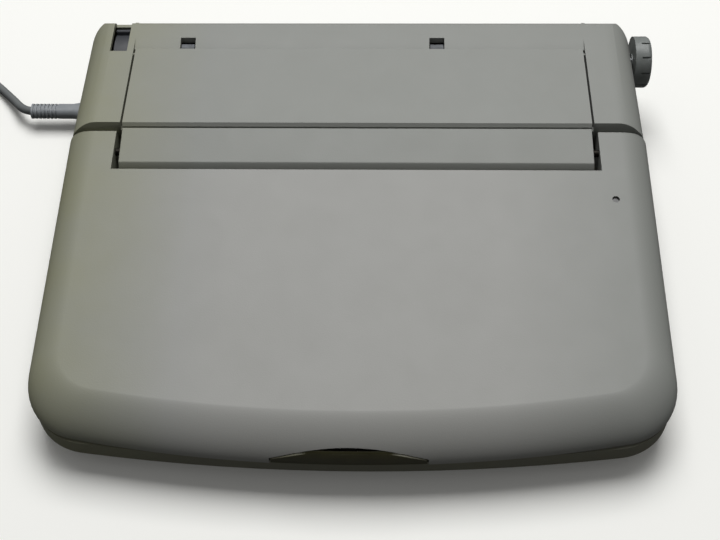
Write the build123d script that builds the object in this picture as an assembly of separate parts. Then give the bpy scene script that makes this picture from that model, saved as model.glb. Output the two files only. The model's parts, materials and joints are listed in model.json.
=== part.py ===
from build123d import *
import math
import os

# Closed notebook-type electronic word processor with a built-in thermal printer.
# Millimetres. X to the right, +Y to the rear, +Z up, floor at z = 0.
# Fore-and-aft places are given as d, the distance forward of the rear face.

# ---- whole machine ----
body_width = 321.0
body_depth = 274.0  # rear face to the foremost point of the lid
body_height = 58.0
body_half = body_width / 2
wall = 2.4
fit_gap = 0.3  # between two mouldings that meet
running_gap = 0.06  # radial, shaft in bearing

# ---- feet and lower case ----
foot_height = 3.0
foot_radius = 7.0
foot_recess = 0.8
foot_inset_x = 26.0
foot_inset_d = 24.0
seam_z = 14.5  # where the lower case meets the upper mouldings
base_front_d = 272.2
base_bow_radius = 1030.0
front_corner_radius = 31.0
rear_corner_radius = 14.0
undercut_z = 12.0
undercut_side = 2.2
undercut_front = 12.0
undercut_rear = 2.5
case_boss_radius = 3.6
case_screw_radius = 1.5
case_screw_head_radius = 3.0
case_screw_head_height = 2.0
vent_slots = 6
vent_pitch = 5.0

# ---- rear housing over the printer ----
cap_front_d = 84.4
cap_roll = 16.0  # rounding of the housing's side edges
rear_round = 5.0
cap_bevel_run = 1.7
cap_bevel_drop = 4.2
bar_flat_d = 15.3  # where the bar's top begins to ramp down to the paper slot
bar_edge_d = 23.2
bar_ramp_drop = 2.0
bar_thickness = 4.0
bay_half_width = body_half - 29.3
bay_skirt_depth = 9.0
notch_width = 8.8
notch_centres = (31.2 - bay_half_width, bay_half_width - 85.4)

# ---- printer cover ----
cover_rear_d = 24.5
cover_gap = 1.2
cover_thickness = 2.4
cover_bevel = 1.6
cover_rib_depth = 2.0
cover_pin_radius = 1.0
cover_pin_d = 27.5
cover_pin_drop = 2.0  # below the top face
cover_pin_length = 3.4
cover_arm_length = 6.0

# ---- platen and its drive ----
platen_d = 16.6
platen_z = 40.0
platen_radius = 8.5
platen_shaft_radius = 3.0
platen_half_length = bay_half_width - 3.2
platen_paper_gap = 0.3
knob_radius = 15.0
knob_length = 9.6
knob_side_gap = 1.2
knob_round = 2.6
knob_grooves = 10
knob_groove_width = 1.1
knob_groove_depth = 0.9
knob_flange = 3.6
gear_module = 0.8
platen_teeth = 30
idler_teeth = 24
pinion_teeth = 12
gear_width = 4.0
gear_backlash = 0.34
idler_direction = 21.0  # degrees below level, seen from the left
pinion_direction = 30.0
feed_motor_radius = 12.5
feed_motor_length = 13.0

# ---- pinch rollers ----
pinch_radius = 4.0
pinch_width = 7.6
pinch_shaft_radius = 1.25
pinch_lean = 18.0  # degrees forward of upright, from the platen's axis
pinch_clip_thickness = 2.0

# ---- paper release lever ----
lever_slot = (15.5 - body_half, 25.5 - body_half)
lever_slot_rear_z = 54.2
lever_slot_front_d = 24.3
lever_slot_lead = 2.3
lever_width = 8.4
lever_pivot_d = 16.0
lever_pivot_z = 30.5
lever_hub_radius = 5.0
lever_stud_radius = 2.0
lever_cover_radius = 24.0
lever_cover_thickness = 1.6
lever_cover_half_angle = 32.0
lever_tab_radius = 26.8
lever_tab_thickness = 3.0
lever_rest_angle = 22.0  # the tab leans to the rear

# ---- printer chassis and carriage ----
chassis_half_width = bay_half_width + 3.9
chassis_sheet = 1.2
chassis_floor_z = 17.0
chassis_rear_d = 6.0
chassis_front_d = 80.5
chassis_plate_top = 48.4
chassis_plate_front_d = 68.0
bushing_radius = 5.0
rod_radius = 3.0
front_rod = (61.0, 31.0)  # d and z
rear_rod = (41.0, 24.0)
carriage_width = 36.0
carriage_home_x = 31.2 - bay_half_width
carriage_d = (34.0, 66.5)
carriage_z = (27.0, 36.6)
head_width = 12.0
head_height = 14.0
head_thickness = 1.8
head_gap = 0.4
cassette_width = 52.0
cassette_d = (37.0, 73.0)
cassette_height = 11.0
cassette_round = 5.0
pulley_x = chassis_half_width - 13.1
pulley_d = 69.0
pulley_radius = 7.0
pulley_height = 6.0
pulley_pin_radius = 1.5
belt_thickness = 1.0
belt_height = 4.0
belt_motor_radius = 12.0
paper_guide_thickness = 0.8
paper_guide_gap = 1.6
paper_guide_angles = (-10.0, 200.0)

# ---- lid ----
lid_width = body_width + 3.0
lid_thickness = 16.8
lid_lip = 2.2
lid_side_roll = 17.0
lid_front_roll = 31.0
lid_bow_radius = 765.0
lid_corner_shrink = 0.55  # how fast the plan corners tighten towards the top
lid_rear_d = 86.3
hinge_d = 97.0
hinge_z = 49.0
ear_radius = 12.0  # the rear ends of the ears turn about the hinge axis
rim_front_z = 22.0
rim_gap = 0.6
ear_inner_x = bay_half_width + 2.0
cutout_front_d = 110.8
hinge_boss_radius = 5.6
hinge_boss_length = 10.0
hinge_pin_radius = 2.0
bezel_thickness = 2.0
bezel_recess = 1.4
window_width = lid_width - 84.0
window_height = 84.0
window_reach = 46.0  # from the hinge line to the window's rear edge
window_thickness = 1.2
display_border = 9.0
display_thickness = 7.6
indicator_x = ear_inner_x + 5.8
indicator_d = 129.4
indicator_radius = 2.0
indicator_depth = 1.2
latch_half_width = 37.8
latch_height = 9.0
latch_thickness = 2.6
latch_gap = 0.8
latch_arm_x = 24.0
latch_arm_width = 6.0
latch_arm_height = 3.0
latch_arm_w = 4.0  # underside of the arms above the rim plane
latch_arm_tail = 8.0  # length of each arm behind its hook
latch_reach = 12.4  # from the front to the hooks
latch_hook_thickness = 2.2
latch_hook_bite = 2.0
latch_travel = 2.6
latch_guide_thickness = 1.6

# ---- hinge cover strip ----
strip_half_width = bay_half_width - 1.6
strip_rear_d = 85.4
strip_top_z = 57.0
strip_front_radius = 13.2  # about the hinge axis
strip_wall = 2.0
bracket_x = (strip_half_width - 17.6, strip_half_width - 5.6)
bracket_sheet = 2.0
bracket_barrel_radius = 4.5

# ---- keyboard deck ----
deck_drop = 4.0  # deck surface below the lid's rim plane
deck_plate = 2.0
key_pitch = (body_width - 35.25) / 15
keyboard_reach = 47.0  # from the hinge line to the rear edge of the keys
function_row_pitch = 15.0
key_gap = 1.0
key_cap_height = 6.9
key_proud = 0.3  # above the rim plane
key_travel = 2.3
key_taper = 11.0
key_stem = 4.0
keyboard_margin = 1.2
keyboard_plate_sheet = 1.0
keyboard_plate_border = 3.7
plate_post_radius = 2.2
switch_reach = 26.0
switch_x = strip_half_width - 17.6
switch_length = 14.0
switch_width = 6.0
switch_travel = 4.0

# ---- boards and small pieces ----
board_sheet = 1.6
board_z = 7.0
main_board_x = (12.75 - body_half, 24.0)
main_board_d = (104.0, 236.0)
power_board_x = (5.75 - body_half, 24.25 - body_half)
power_board_d = (39.0, 79.0)
battery_radius = 11.5
battery_height = 3.4
drive_d = (102.0, 198.0)
drive_x_rear = body_half - 126.5
drive_z = (5.9, 15.6)
drive_slot_z = (8.6, 13.2)
drive_slot_length = 91.0
drive_bezel_depth = 2.2

# ---- power inlet, lead and plug ----
inlet_d = 29.2
inlet_z = 10.0
inlet_width = 13.0
inlet_height = 8.6
inlet_depth = 14.0
plug_hole = (10.6, 6.6)
plug_hole_depth = 8.0
inlet_pin_radius = 1.2
inlet_pin_pitch = 5.0
connector_head = (15.0, 8.8)
connector_waist = (9.8, 7.4)
connector_side_gap = 0.5
connector_head_length = 3.0
connector_taper_length = 12.0
connector_waist_length = 9.15
relief_grooves = 7
relief_pitch = 2.33
relief_groove_width = 1.1
relief_core = (7.8, 6.2)
cord_diameter = 5.2
cord_socket = 12.6  # how far the lead reaches into its connector and plug
cord_turn_pitch = 5.7
coil_centre = (-275.0, 20.0)  # x and d
coil_mean_radius = 33.4
coil_turns_in = 4
coil_climb_degrees = 180
coil_turns_total = 8
coil_entry_angle = 47.0
coil_exit_angle = 180.0
lead_last_run = 21.0
tail_length = 14.0
mains_body = (30.0, 18.0)  # length and width; its height is twice that of the lead's middle
mains_relief_length = 24.0
mains_relief = (8.4, 6.8)
blade_size = (17.0, 6.3, 1.5)
blade_pitch = 12.7

# ---- worked out from the sizes above ----
lid_half = lid_width / 2
rim_hinge_z = hinge_z - ear_radius
lid_drop = rim_hinge_z - rim_front_z
lid_run = body_depth - hinge_d
lid_tilt = math.degrees(math.atan2(lid_drop, lid_run))
lid_length = math.hypot(lid_run, lid_drop)
knob_outer_x = body_half + knob_side_gap + knob_length
centre_shift = (knob_outer_x - lid_half) / 2  # the frame's origin is mid-way between the side extremes
case_bottom_z = foot_height
floor_z = case_bottom_z + wall
deck_w = -deck_drop
plate_w = key_proud - key_cap_height - key_travel - 0.1 - keyboard_plate_sheet
paper_side_radius = platen_radius + platen_paper_gap
pinch_distance = paper_side_radius + pinch_radius
pinch_d = platen_d + pinch_distance * math.sin(math.radians(pinch_lean))
pinch_z = platen_z + pinch_distance * math.cos(math.radians(pinch_lean))


def y_at(d):
    return body_depth / 2 - d


def block(x, d, z):
    size = Box(x[1] - x[0], d[1] - d[0], z[1] - z[0])
    return Pos((x[0] + x[1]) / 2, y_at((d[0] + d[1]) / 2), (z[0] + z[1]) / 2) * size


def bar_x(x, d, z, radius):
    return Pos((x[0] + x[1]) / 2, y_at(d), z) * Rot(0, 90, 0) * Cylinder(radius, x[1] - x[0])


def post(x, d, z, radius):
    return Pos(x, y_at(d), (z[0] + z[1]) / 2) * Cylinder(radius, z[1] - z[0])


def side_prism(points, x):
    """A prism along X whose outline is given as (d, z) points."""
    face = make_face(Polyline([(y_at(d), z) for d, z in points], close=True))
    return extrude(Plane((x[0], 0, 0), x_dir=(0, 1, 0), z_dir=(1, 0, 0)) * face, x[1] - x[0])


def joined(pieces):
    pieces = list(pieces)
    return pieces[0].fuse(*pieces[1:]) if len(pieces) > 1 else pieces[0]


def group(pieces):
    return Compound(children=list(pieces))


def both_sides(make):
    return [make(-1), make(1)]


def mirrored_span(side, inner, outer):
    return tuple(sorted((side * inner, side * outer)))


# ---- the lid's own frame: v forward along the rim plane from the hinge line, w above it ----
lid_frame = Pos(0, y_at(hinge_d), rim_hinge_z) * Rot(lid_tilt, 0, 0)


def lid_block(x, v, w):
    size = Box(x[1] - x[0], v[1] - v[0], w[1] - w[0])
    return lid_frame * Pos((x[0] + x[1]) / 2, -(v[0] + v[1]) / 2, (w[0] + w[1]) / 2) * size


def lid_post(x, v, w, radius):
    return lid_frame * Pos(x, -v, (w[0] + w[1]) / 2) * Cylinder(radius, w[1] - w[0])


def lid_reach(d):
    """The reach v of a place d on the machine, measured along the lid."""
    return (d - hinge_d) / math.cos(math.radians(lid_tilt))


def bowed_face(half, front, rear, bow_radius, corner_radius):
    """A plan face in the lid's frame with a bowed front edge and two round front corners."""
    face = Pos(0, -(front + rear) / 2) * Rectangle(2 * half, front - rear)
    face = face & Pos(0, bow_radius - front) * Circle(bow_radius)
    return fillet(face.vertices().sort_by(Axis.Y)[:2], corner_radius)


def lid_form(inset):
    """The rolled outer form of the lid, or the form of its cavity with an inset."""
    top = lid_thickness - inset
    rear = lid_reach(lid_rear_d) - 6
    faces = []
    steps = 12
    for step in range(steps + 1):
        turn = math.radians(90 * step / steps)
        drawn_in = 1 - math.cos(turn)
        half = lid_half - inset - lid_side_roll * drawn_in
        front = lid_length - inset - lid_front_roll * drawn_in
        corner = front_corner_radius - inset - lid_side_roll * drawn_in * lid_corner_shrink
        height = lid_lip + (top - lid_lip) * math.sin(turn)
        faces.append(Pos(0, 0, height) * bowed_face(half, front, rear, lid_bow_radius, corner))
    lip = extrude(Pos(0, 0, -0.5 if inset else 0) * faces[0].moved(Pos(0, 0, -lid_lip)),
                  lid_lip + (0.5 if inset else 0))
    return lid_frame * (loft(faces, ruled=True) + lip)


def hinge_side(radius, x):
    """All that lies forward of the ears' rear ends, which turn about the hinge axis."""
    ahead = block(x, (hinge_d, body_depth + 40), (rim_hinge_z - 60, hinge_z + 60))
    over = side_prism(
        [(lid_rear_d + ear_radius - radius, hinge_z), (lid_rear_d + ear_radius - radius, hinge_z + 60),
         (hinge_d + 1, hinge_z + 60), (hinge_d + 1, hinge_z)], x)
    return joined([ahead, over, bar_x(x, hinge_d, hinge_z, radius)])


# ---- the case outline in plan ----
def case_face(z, side=0.0, front=0.0, rear=0.0):
    d0 = rear
    d1 = base_front_d - front
    half = body_half - side
    face = Pos(0, y_at((d0 + d1) / 2)) * Rectangle(2 * half, d1 - d0)
    face = face & Pos(0, y_at(d1) + base_bow_radius) * Circle(base_bow_radius)
    corners = face.vertices().sort_by(Axis.Y)
    face = fillet(corners[:2], max(front_corner_radius - side, 1.0))
    corners = face.vertices().sort_by(Axis.Y)
    return Pos(0, 0, z) * fillet(corners[-2:], max(rear_corner_radius - side, 1.0))


def case_prism(inset, z):
    return extrude(case_face(z[0], inset, inset, inset), z[1] - z[0])


def foot_places():
    for x in (-body_half + foot_inset_x, body_half - foot_inset_x):
        for d in (foot_inset_d, base_front_d - undercut_front - foot_inset_d):
            yield x, d


def case_screw_places():
    for x in (-body_half + 9.0, body_half - 9.0):
        for d in (12.0, 90.0, 240.0):
            yield x, d


def make_lower_case():
    def tub(inset):
        low = case_bottom_z + inset
        share = inset
        foot = case_face(low, undercut_side + share, undercut_front + share, undercut_rear + share)
        waist = case_face(undercut_z, share, share, share)
        return loft([foot, waist], ruled=True) + case_prism(share, (undercut_z, seam_z))

    case = tub(0) - tub(wall)
    for x, d in case_screw_places():
        case += post(x, d, (floor_z - 0.5, seam_z - fit_gap), case_boss_radius)
    for x, d in chassis_posts():
        case += post(x, d, (floor_z - 0.5, chassis_floor_z), case_boss_radius)
    for x, d in board_posts():
        case += post(x, d, (floor_z - 0.5, board_z), 3.0)
    for x, d in foot_places():
        case -= post(x, d, (0, case_bottom_z + foot_recess), foot_radius)
    for x, d in case_screw_places():
        case -= post(x, d, (0, case_bottom_z + case_screw_head_height + 0.2), case_screw_head_radius + 0.2)
        case -= post(x, d, (0, body_height), case_screw_radius + 0.1)
    case -= block((-body_half - 1, -body_half + wall + 4), inlet_span_d(), (floor_z, seam_z + 1))
    case -= block((body_half - wall - 4, body_half + 1),
                  (drive_d[0] - fit_gap, drive_d[1] + fit_gap), (drive_z[0] - fit_gap, seam_z + 1))
    for k in range(vent_slots):
        d = 30.0 + k * vent_pitch
        case -= block((60.0, 100.0), (d, d + vent_pitch / 2), (0, floor_z + 1))
    return case


def inlet_span_d():
    return (inlet_d - inlet_width / 2 - fit_gap, inlet_d + inlet_width / 2 + fit_gap)


def chassis_posts():
    for x in (-chassis_half_width + 14.0, chassis_half_width - 14.0):
        for d in (chassis_rear_d + 8.0, chassis_front_d - 30.0):
            yield x, d


def board_posts():
    for x, d in ((main_board_x, main_board_d), (power_board_x, power_board_d)):
        for post_x in (x[0] + 4.5, x[1] - 4.5):
            for post_d in (d[0] + 4.5, d[1] - 4.5):
                yield post_x, post_d


def make_rubber_feet():
    return group(post(x, d, (0, case_bottom_z + foot_recess), foot_radius - 0.1) for x, d in foot_places())


def make_case_screws():
    def screw(x, d):
        low = case_bottom_z
        head = post(x, d, (low, low + case_screw_head_height), case_screw_head_radius)
        return head + post(x, d, (low, seam_z + 3.0), case_screw_radius)

    return group(screw(x, d) for x, d in case_screw_places())


# ---- rear housing ----
def housing_form(inset):
    half = body_half - inset
    top = body_height - inset
    cross = Pos(0, (seam_z + top) / 2) * Rectangle(2 * half, top - seam_z)
    cross = fillet(cross.vertices().sort_by(Axis.Y)[-2:], cap_roll - inset)
    along = extrude(Plane.XZ * cross, body_depth, both=True)
    rear, front = inset, cap_front_d - inset
    side = make_face(Polyline([(y_at(d), z) for d, z in (
        (rear, seam_z), (rear, top), (front - cap_bevel_run, top),
        (front, top - cap_bevel_drop), (front, seam_z))], close=True))
    rear_top = side.vertices().sort_by(Axis.X)[-2:].sort_by(Axis.Y)[-1:]
    side = fillet(rear_top, max(rear_round - inset, 0.6))
    across = extrude(Plane.YZ * side, body_width, both=True)
    plan = case_prism(inset, (seam_z, body_height))
    return along & across & plan


def make_rear_housing():
    shell = housing_form(0) - housing_form(wall)
    shell -= case_prism(wall, (seam_z - 1, seam_z + 1)) & block(
        (-body_width, body_width), (wall, cap_front_d - wall), (seam_z - 2, seam_z + 2))
    inner_top = body_height - wall / 2
    skirt = (body_height - bay_skirt_depth, inner_top)
    for side in (-1, 1):
        span = mirrored_span(side, bay_half_width, bay_half_width + 2.0)
        shell += block(span, (wall / 2, cap_front_d - wall / 2), skirt)
    bar_low = body_height - bar_thickness
    shell += block((-bay_half_width - 1, bay_half_width + 1), (bar_flat_d - 4.0, bar_edge_d),
                   (bar_low, inner_top))
    shell -= block((-bay_half_width, bay_half_width), (bar_edge_d, cap_front_d + 1),
                   (cover_seat_z(), body_height + 1))
    ramp = [(bar_flat_d, body_height), (bar_edge_d + 0.1, body_height - bar_ramp_drop),
            (bar_edge_d + 0.1, body_height + 1), (bar_flat_d, body_height + 1)]
    shell -= side_prism(ramp, (-bay_half_width, bay_half_width))
    for x in notch_centres:
        span = (x - notch_width / 2, x + notch_width / 2)
        shell -= block(span, (bar_flat_d, bar_edge_d + 1), (bar_low - 1, body_height + 1))
        for side in (-1, 1):
            inner = x + side * (notch_width / 2 + 0.5)
            clip = tuple(sorted((inner, inner + side * pinch_clip_thickness)))
            hanger = block(clip, (pinch_d - 2.4, pinch_d + 2.4), (pinch_z, bar_low + 0.5))
            shell += hanger + bar_x(clip, pinch_d, pinch_z, 2.4)
    shell -= bar_x((-bay_half_width + 4, bay_half_width - 40), pinch_d, pinch_z,
                   pinch_shaft_radius + running_gap)
    for side in (-1, 1):
        span = mirrored_span(side, bay_half_width - 1, bay_half_width + 4)
        shell -= bar_x(span, cover_pin_d, body_height - cover_pin_drop, cover_pin_radius + running_gap)
    shell -= bar_x((body_half - wall - 2, body_half + 2), platen_d, platen_z, platen_shaft_radius + 1.2)
    shell -= block(lever_slot, (wall, lever_slot_front_d), (lever_slot_rear_z - 9, body_height + 1))
    lead = [(-1, lever_slot_rear_z), (lever_slot_front_d, lever_slot_rear_z),
            (lever_slot_front_d, body_height - wall + 0.4),
            (lever_slot_front_d + lever_slot_lead, body_height + 0.01), (-1, body_height + 1)]
    shell -= side_prism(lead, lever_slot)
    for x, d in case_screw_places():
        if d < cap_front_d:
            web = tuple(sorted((x, math.copysign(body_half - wall / 2, x))))
            shell += post(x, d, (seam_z, seam_z + 12), case_boss_radius)
            shell += block(web, (d - 1.2, d + 1.2), (seam_z, seam_z + 12))
            shell -= post(x, d, (seam_z - 1, seam_z + 8), case_screw_radius + 0.1)
    return shell


def cover_seat_z():
    return body_height - cover_thickness - cover_rib_depth - 0.3


def make_printer_cover():
    half = bay_half_width - cover_gap
    front = cap_front_d
    low = body_height - cover_thickness
    panel = [(cover_rear_d, low), (cover_rear_d, body_height), (front - cover_bevel, body_height),
             (front, body_height - cover_bevel), (front, low)]
    cover = side_prism(panel, (-half, half))
    rib_low = low - cover_rib_depth
    cover += block((-half, half), (front - 2.0, front), (rib_low, low + 0.5))
    for x in (-half + 1.0, -half / 2, 0.0, half / 2, half - 1.0):
        cover += block((x - 1.0, x + 1.0), (cover_rear_d + 8.0, front - 1.0), (rib_low, low + 0.5))
    pin_z = body_height - cover_pin_drop
    for side in (-1, 1):
        arm = mirrored_span(side, half - cover_arm_length, half)
        cover += block(arm, (cover_pin_d - 1.4, cover_pin_d + 3.0), (pin_z - 1.6, low + 0.5))
        pin = mirrored_span(side, half - 2.0, half + cover_pin_length)
        cover += bar_x(pin, cover_pin_d, pin_z, cover_pin_radius)
    return cover


# ---- platen group ----
def knob_face_x():
    return body_half + knob_side_gap


def gear_x():
    left = chassis_half_width + 1.6
    return (left, left + gear_width)


def make_platen_shaft():
    return bar_x((-chassis_half_width - 0.6, knob_outer_x - 3.0), platen_d, platen_z, platen_shaft_radius)


def make_platen_roller():
    span = (-platen_half_length, platen_half_length)
    roller = bar_x(span, platen_d, platen_z, platen_radius)
    return roller - bar_x(span, platen_d, platen_z, platen_shaft_radius + running_gap)


def make_platen_knob():
    x0 = knob_face_x()
    knob = Cylinder(knob_radius, knob_length)
    outer_edge = knob.edges().filter_by(GeomType.CIRCLE).sort_by(Axis.Z)[-1:]
    knob = fillet(outer_edge, knob_round)
    reach = knob_length - knob_flange
    for k in range(knob_grooves):
        turn = Rot(0, 0, 360 * k / knob_grooves)
        groove = Box(knob_groove_depth * 2, knob_groove_width, reach + 0.1)
        knob -= turn * Pos(knob_radius, 0, knob_flange / 2 + 0.05) * groove
    knob = Pos(x0 + knob_length / 2, y_at(platen_d), platen_z) * Rot(0, 90, 0) * knob
    hub = bar_x((x0 - 0.6, x0 + 1), platen_d, platen_z, platen_shaft_radius + 2.0)
    bore = bar_x((x0 - 2, knob_outer_x - 2.6), platen_d, platen_z, platen_shaft_radius + running_gap)
    return knob + hub - bore


def gear_solid(teeth, bore, phase, d, z, x):
    """A spur gear along X. phase is the angle of one tooth's middle, in the Y-Z plane from +Y."""
    pitch_radius = gear_module * teeth / 2
    tip = pitch_radius + 0.8 * gear_module
    root = pitch_radius - 1.15 * gear_module
    half_pitch = (math.pi * gear_module / 2 - gear_backlash) / 2
    points = []
    for k in range(teeth):
        middle = math.radians(phase) + 2 * math.pi * k / teeth
        for radius, half in ((root, half_pitch * 1.55), (tip, half_pitch * 0.52)):
            points.append((radius, middle - half / radius))
        for radius, half in ((tip, half_pitch * 0.52), (root, half_pitch * 1.55)):
            points.append((radius, middle + half / radius))
    outline = Polyline([(r * math.cos(a), r * math.sin(a)) for r, a in points], close=True)
    face = make_face(outline) - Circle(bore)
    return extrude(Plane((x[0], y_at(d), z), x_dir=(0, 1, 0), z_dir=(1, 0, 0)) * face, x[1] - x[0])


def mesh_geometry():
    """Centres of the idler and pinion, and the tooth phases that put all three in mesh."""
    step_a = gear_module * (platen_teeth + idler_teeth) / 2
    step_b = gear_module * (idler_teeth + pinion_teeth) / 2
    angle_a = 180 + idler_direction
    angle_b = 180 + pinion_direction
    idler = (platen_d - step_a * math.cos(math.radians(angle_a)),
             platen_z + step_a * math.sin(math.radians(angle_a)))
    pinion = (idler[0] - step_b * math.cos(math.radians(angle_b)),
              idler[1] + step_b * math.sin(math.radians(angle_b)))
    idler_pitch = 360 / idler_teeth
    idler_phase = angle_a + 180 + idler_pitch / 2
    lead = (idler_phase - angle_b) % idler_pitch
    pinion_phase = angle_b + 180 - lead * idler_teeth / pinion_teeth + 180 / pinion_teeth
    return idler, pinion, angle_a, idler_phase, pinion_phase


def make_platen_gear():
    phase = mesh_geometry()[2]
    return gear_solid(platen_teeth, platen_shaft_radius + running_gap, phase, platen_d, platen_z, gear_x())


def make_feed_idler():
    idler, _, _, phase, _ = mesh_geometry()
    return gear_solid(idler_teeth, 2.0 + running_gap, phase, idler[0], idler[1], gear_x())


def make_feed_pinion():
    _, pinion, _, _, phase = mesh_geometry()
    x = gear_x()
    gear = gear_solid(pinion_teeth, 1.0 + running_gap, phase, pinion[0], pinion[1], x)
    shaft = bar_x((x[0], x[1] + 4.0), pinion[0], pinion[1], 1.0 + running_gap)
    return gear + shaft


def feed_motor_x():
    return gear_x()[1] + 1.4


def motor_post_places():
    _, pinion, _, _, _ = mesh_geometry()
    for lean in (-25.0, 90.0):
        away = math.radians(lean)
        reach = feed_motor_radius + 3.0
        yield pinion[0] + reach * math.cos(away), pinion[1] + reach * math.sin(away)


def make_feed_motor():
    _, pinion, _, _, _ = mesh_geometry()
    x = feed_motor_x()
    body = bar_x((x, x + feed_motor_length), pinion[0], pinion[1], feed_motor_radius)
    for d, z in motor_post_places():
        lean = math.degrees(math.atan2(z - pinion[1], d - pinion[0]))
        ear = Pos(x + 0.75, y_at(pinion[0]), pinion[1]) * Rot(-lean, 0, 0) * Pos(0, -feed_motor_radius / 2, 0)
        body += ear * Box(1.5, feed_motor_radius + 6.0, 6.4)
        body += bar_x((x, x + 1.5), d, z, 3.2)
    return body - bar_x((x - 1, x + 5), pinion[0], pinion[1], 1.6)


def make_pinch_rollers():
    return group(bar_x((x - pinch_width / 2, x + pinch_width / 2), pinch_d, pinch_z, pinch_radius)
                 - bar_x((x - 9, x + 9), pinch_d, pinch_z, pinch_shaft_radius) for x in notch_centres)


def make_pinch_shaft():
    reach = notch_width / 2 + 4.0
    span = (min(notch_centres) - reach, max(notch_centres) + reach)
    return bar_x(span, pinch_d, pinch_z, pinch_shaft_radius)


def make_paper_guide():
    inner = platen_radius + paper_guide_gap
    outer = inner + paper_guide_thickness
    span = (-platen_half_length, platen_half_length)
    ring = bar_x(span, platen_d, platen_z, outer) - bar_x(span, platen_d, platen_z, inner)
    below = block(span, (platen_d - 30, platen_d + 30), (platen_z - 30, platen_z - 2.0))
    feet = [block((x - 3, x + 3), (platen_d - 2, platen_d + 2),
                  (chassis_floor_z + chassis_sheet, platen_z - inner - 0.3))
            for x in (-platen_half_length + 12.0, 0.0, platen_half_length - 12.0)]
    trough = (ring & below) - block(span, (platen_d, platen_d + 30),
                                    (platen_z - head_height / 2 - 0.8, body_height))
    return joined([trough] + feet)


# ---- release lever ----
def lever_x():
    middle = sum(lever_slot) / 2
    return (middle - lever_width / 2, middle + lever_width / 2)


def make_release_lever():
    x = lever_x()
    cover = bar_x(x, lever_pivot_d, lever_pivot_z, lever_cover_radius)
    cover -= bar_x((x[0] + 1.2, x[1] - 1.2), lever_pivot_d, lever_pivot_z,
                       lever_cover_radius - lever_cover_thickness)
    reach = lever_cover_radius * 2
    spread = math.radians(lever_cover_half_angle)
    wedge = [(lever_pivot_d, lever_pivot_z),
             (lever_pivot_d - reach * math.sin(spread), lever_pivot_z + reach * math.cos(spread)),
             (lever_pivot_d + reach * math.sin(spread), lever_pivot_z + reach * math.cos(spread))]
    lever = cover & side_prism(wedge, (x[0] - 1, x[1] + 1))
    lever += bar_x(x, lever_pivot_d, lever_pivot_z, lever_hub_radius)
    tab = Pos(0, 0, (lever_cover_radius + lever_tab_radius) / 2 - 1) * Box(
        lever_width - 0.4, lever_tab_thickness, lever_tab_radius - lever_cover_radius + 2)
    tab = fillet(tab.edges().filter_by(Axis.X).sort_by(Axis.Z)[-2:], lever_tab_thickness * 0.4)
    lever += Pos(sum(x) / 2, y_at(lever_pivot_d), lever_pivot_z) * Rot(-lever_rest_angle, 0, 0) * tab
    return lever - bar_x((x[0] - 1, x[1] + 1), lever_pivot_d, lever_pivot_z, lever_stud_radius + running_gap)


# ---- chassis ----
def make_printer_chassis():
    floor = block((-chassis_half_width, chassis_half_width), (chassis_rear_d, chassis_front_d),
                  (chassis_floor_z, chassis_floor_z + chassis_sheet))
    pieces = [floor]
    for side in (-1, 1):
        span = mirrored_span(side, chassis_half_width - chassis_sheet, chassis_half_width)
        cheek = [(chassis_rear_d, chassis_floor_z), (chassis_rear_d, chassis_plate_top),
                 (platen_d + 14, chassis_plate_top), (chassis_plate_front_d, rear_rod[1] + 18),
                 (chassis_plate_front_d, chassis_floor_z)]
        plate = side_prism(cheek, span)
        plate -= bar_x((span[0] - 1, span[1] + 1), platen_d, platen_z, bushing_radius - 1)
        for d, z in (front_rod, rear_rod):
            plate -= bar_x((span[0] - 1, span[1] + 1), d, z, rod_radius)
        pieces.append(plate)
    stud = (min(lever_x()) - 0.6, -chassis_half_width + 0.5)
    pieces.append(bar_x(stud, lever_pivot_d, lever_pivot_z, lever_stud_radius))
    idler = mesh_geometry()[0]
    pieces.append(bar_x((chassis_half_width - 0.5, gear_x()[1] + 0.6), idler[0], idler[1], 2.0))
    for d, z in motor_post_places():
        pieces.append(bar_x((chassis_half_width - 0.5, feed_motor_x()), d, z, 2.6))
    pieces.append(post(pulley_x, pulley_d, (chassis_floor_z, pulley_z()[1] + 0.8), pulley_pin_radius))
    frame = joined(pieces)
    frame -= post(-pulley_x, pulley_d, (chassis_floor_z - 1, chassis_floor_z + chassis_sheet + 1), 4.0)
    for x, d in chassis_posts():
        frame -= post(x, d, (chassis_floor_z - 1, chassis_floor_z + chassis_sheet + 1), 1.6)
    return frame


def make_platen_bushings():
    def bushing(side):
        span = mirrored_span(side, chassis_half_width - chassis_sheet - 1.4, chassis_half_width)
        flange = mirrored_span(side, chassis_half_width - chassis_sheet - 1.4,
                               chassis_half_width - chassis_sheet)
        body = bar_x(span, platen_d, platen_z, bushing_radius - 1)
        body += bar_x(flange, platen_d, platen_z, bushing_radius)
        return body - bar_x((span[0] - 1, span[1] + 1), platen_d, platen_z, platen_shaft_radius + running_gap)

    return group(both_sides(bushing))


def make_guide_rods():
    span = (-chassis_half_width, chassis_half_width)
    return group(bar_x(span, d, z, rod_radius) for d, z in (front_rod, rear_rod))


# ---- carriage ----
def carriage_span(width):
    return (carriage_home_x - width / 2, carriage_home_x + width / 2)


def head_front_d():
    return platen_d + platen_radius + head_gap


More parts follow.
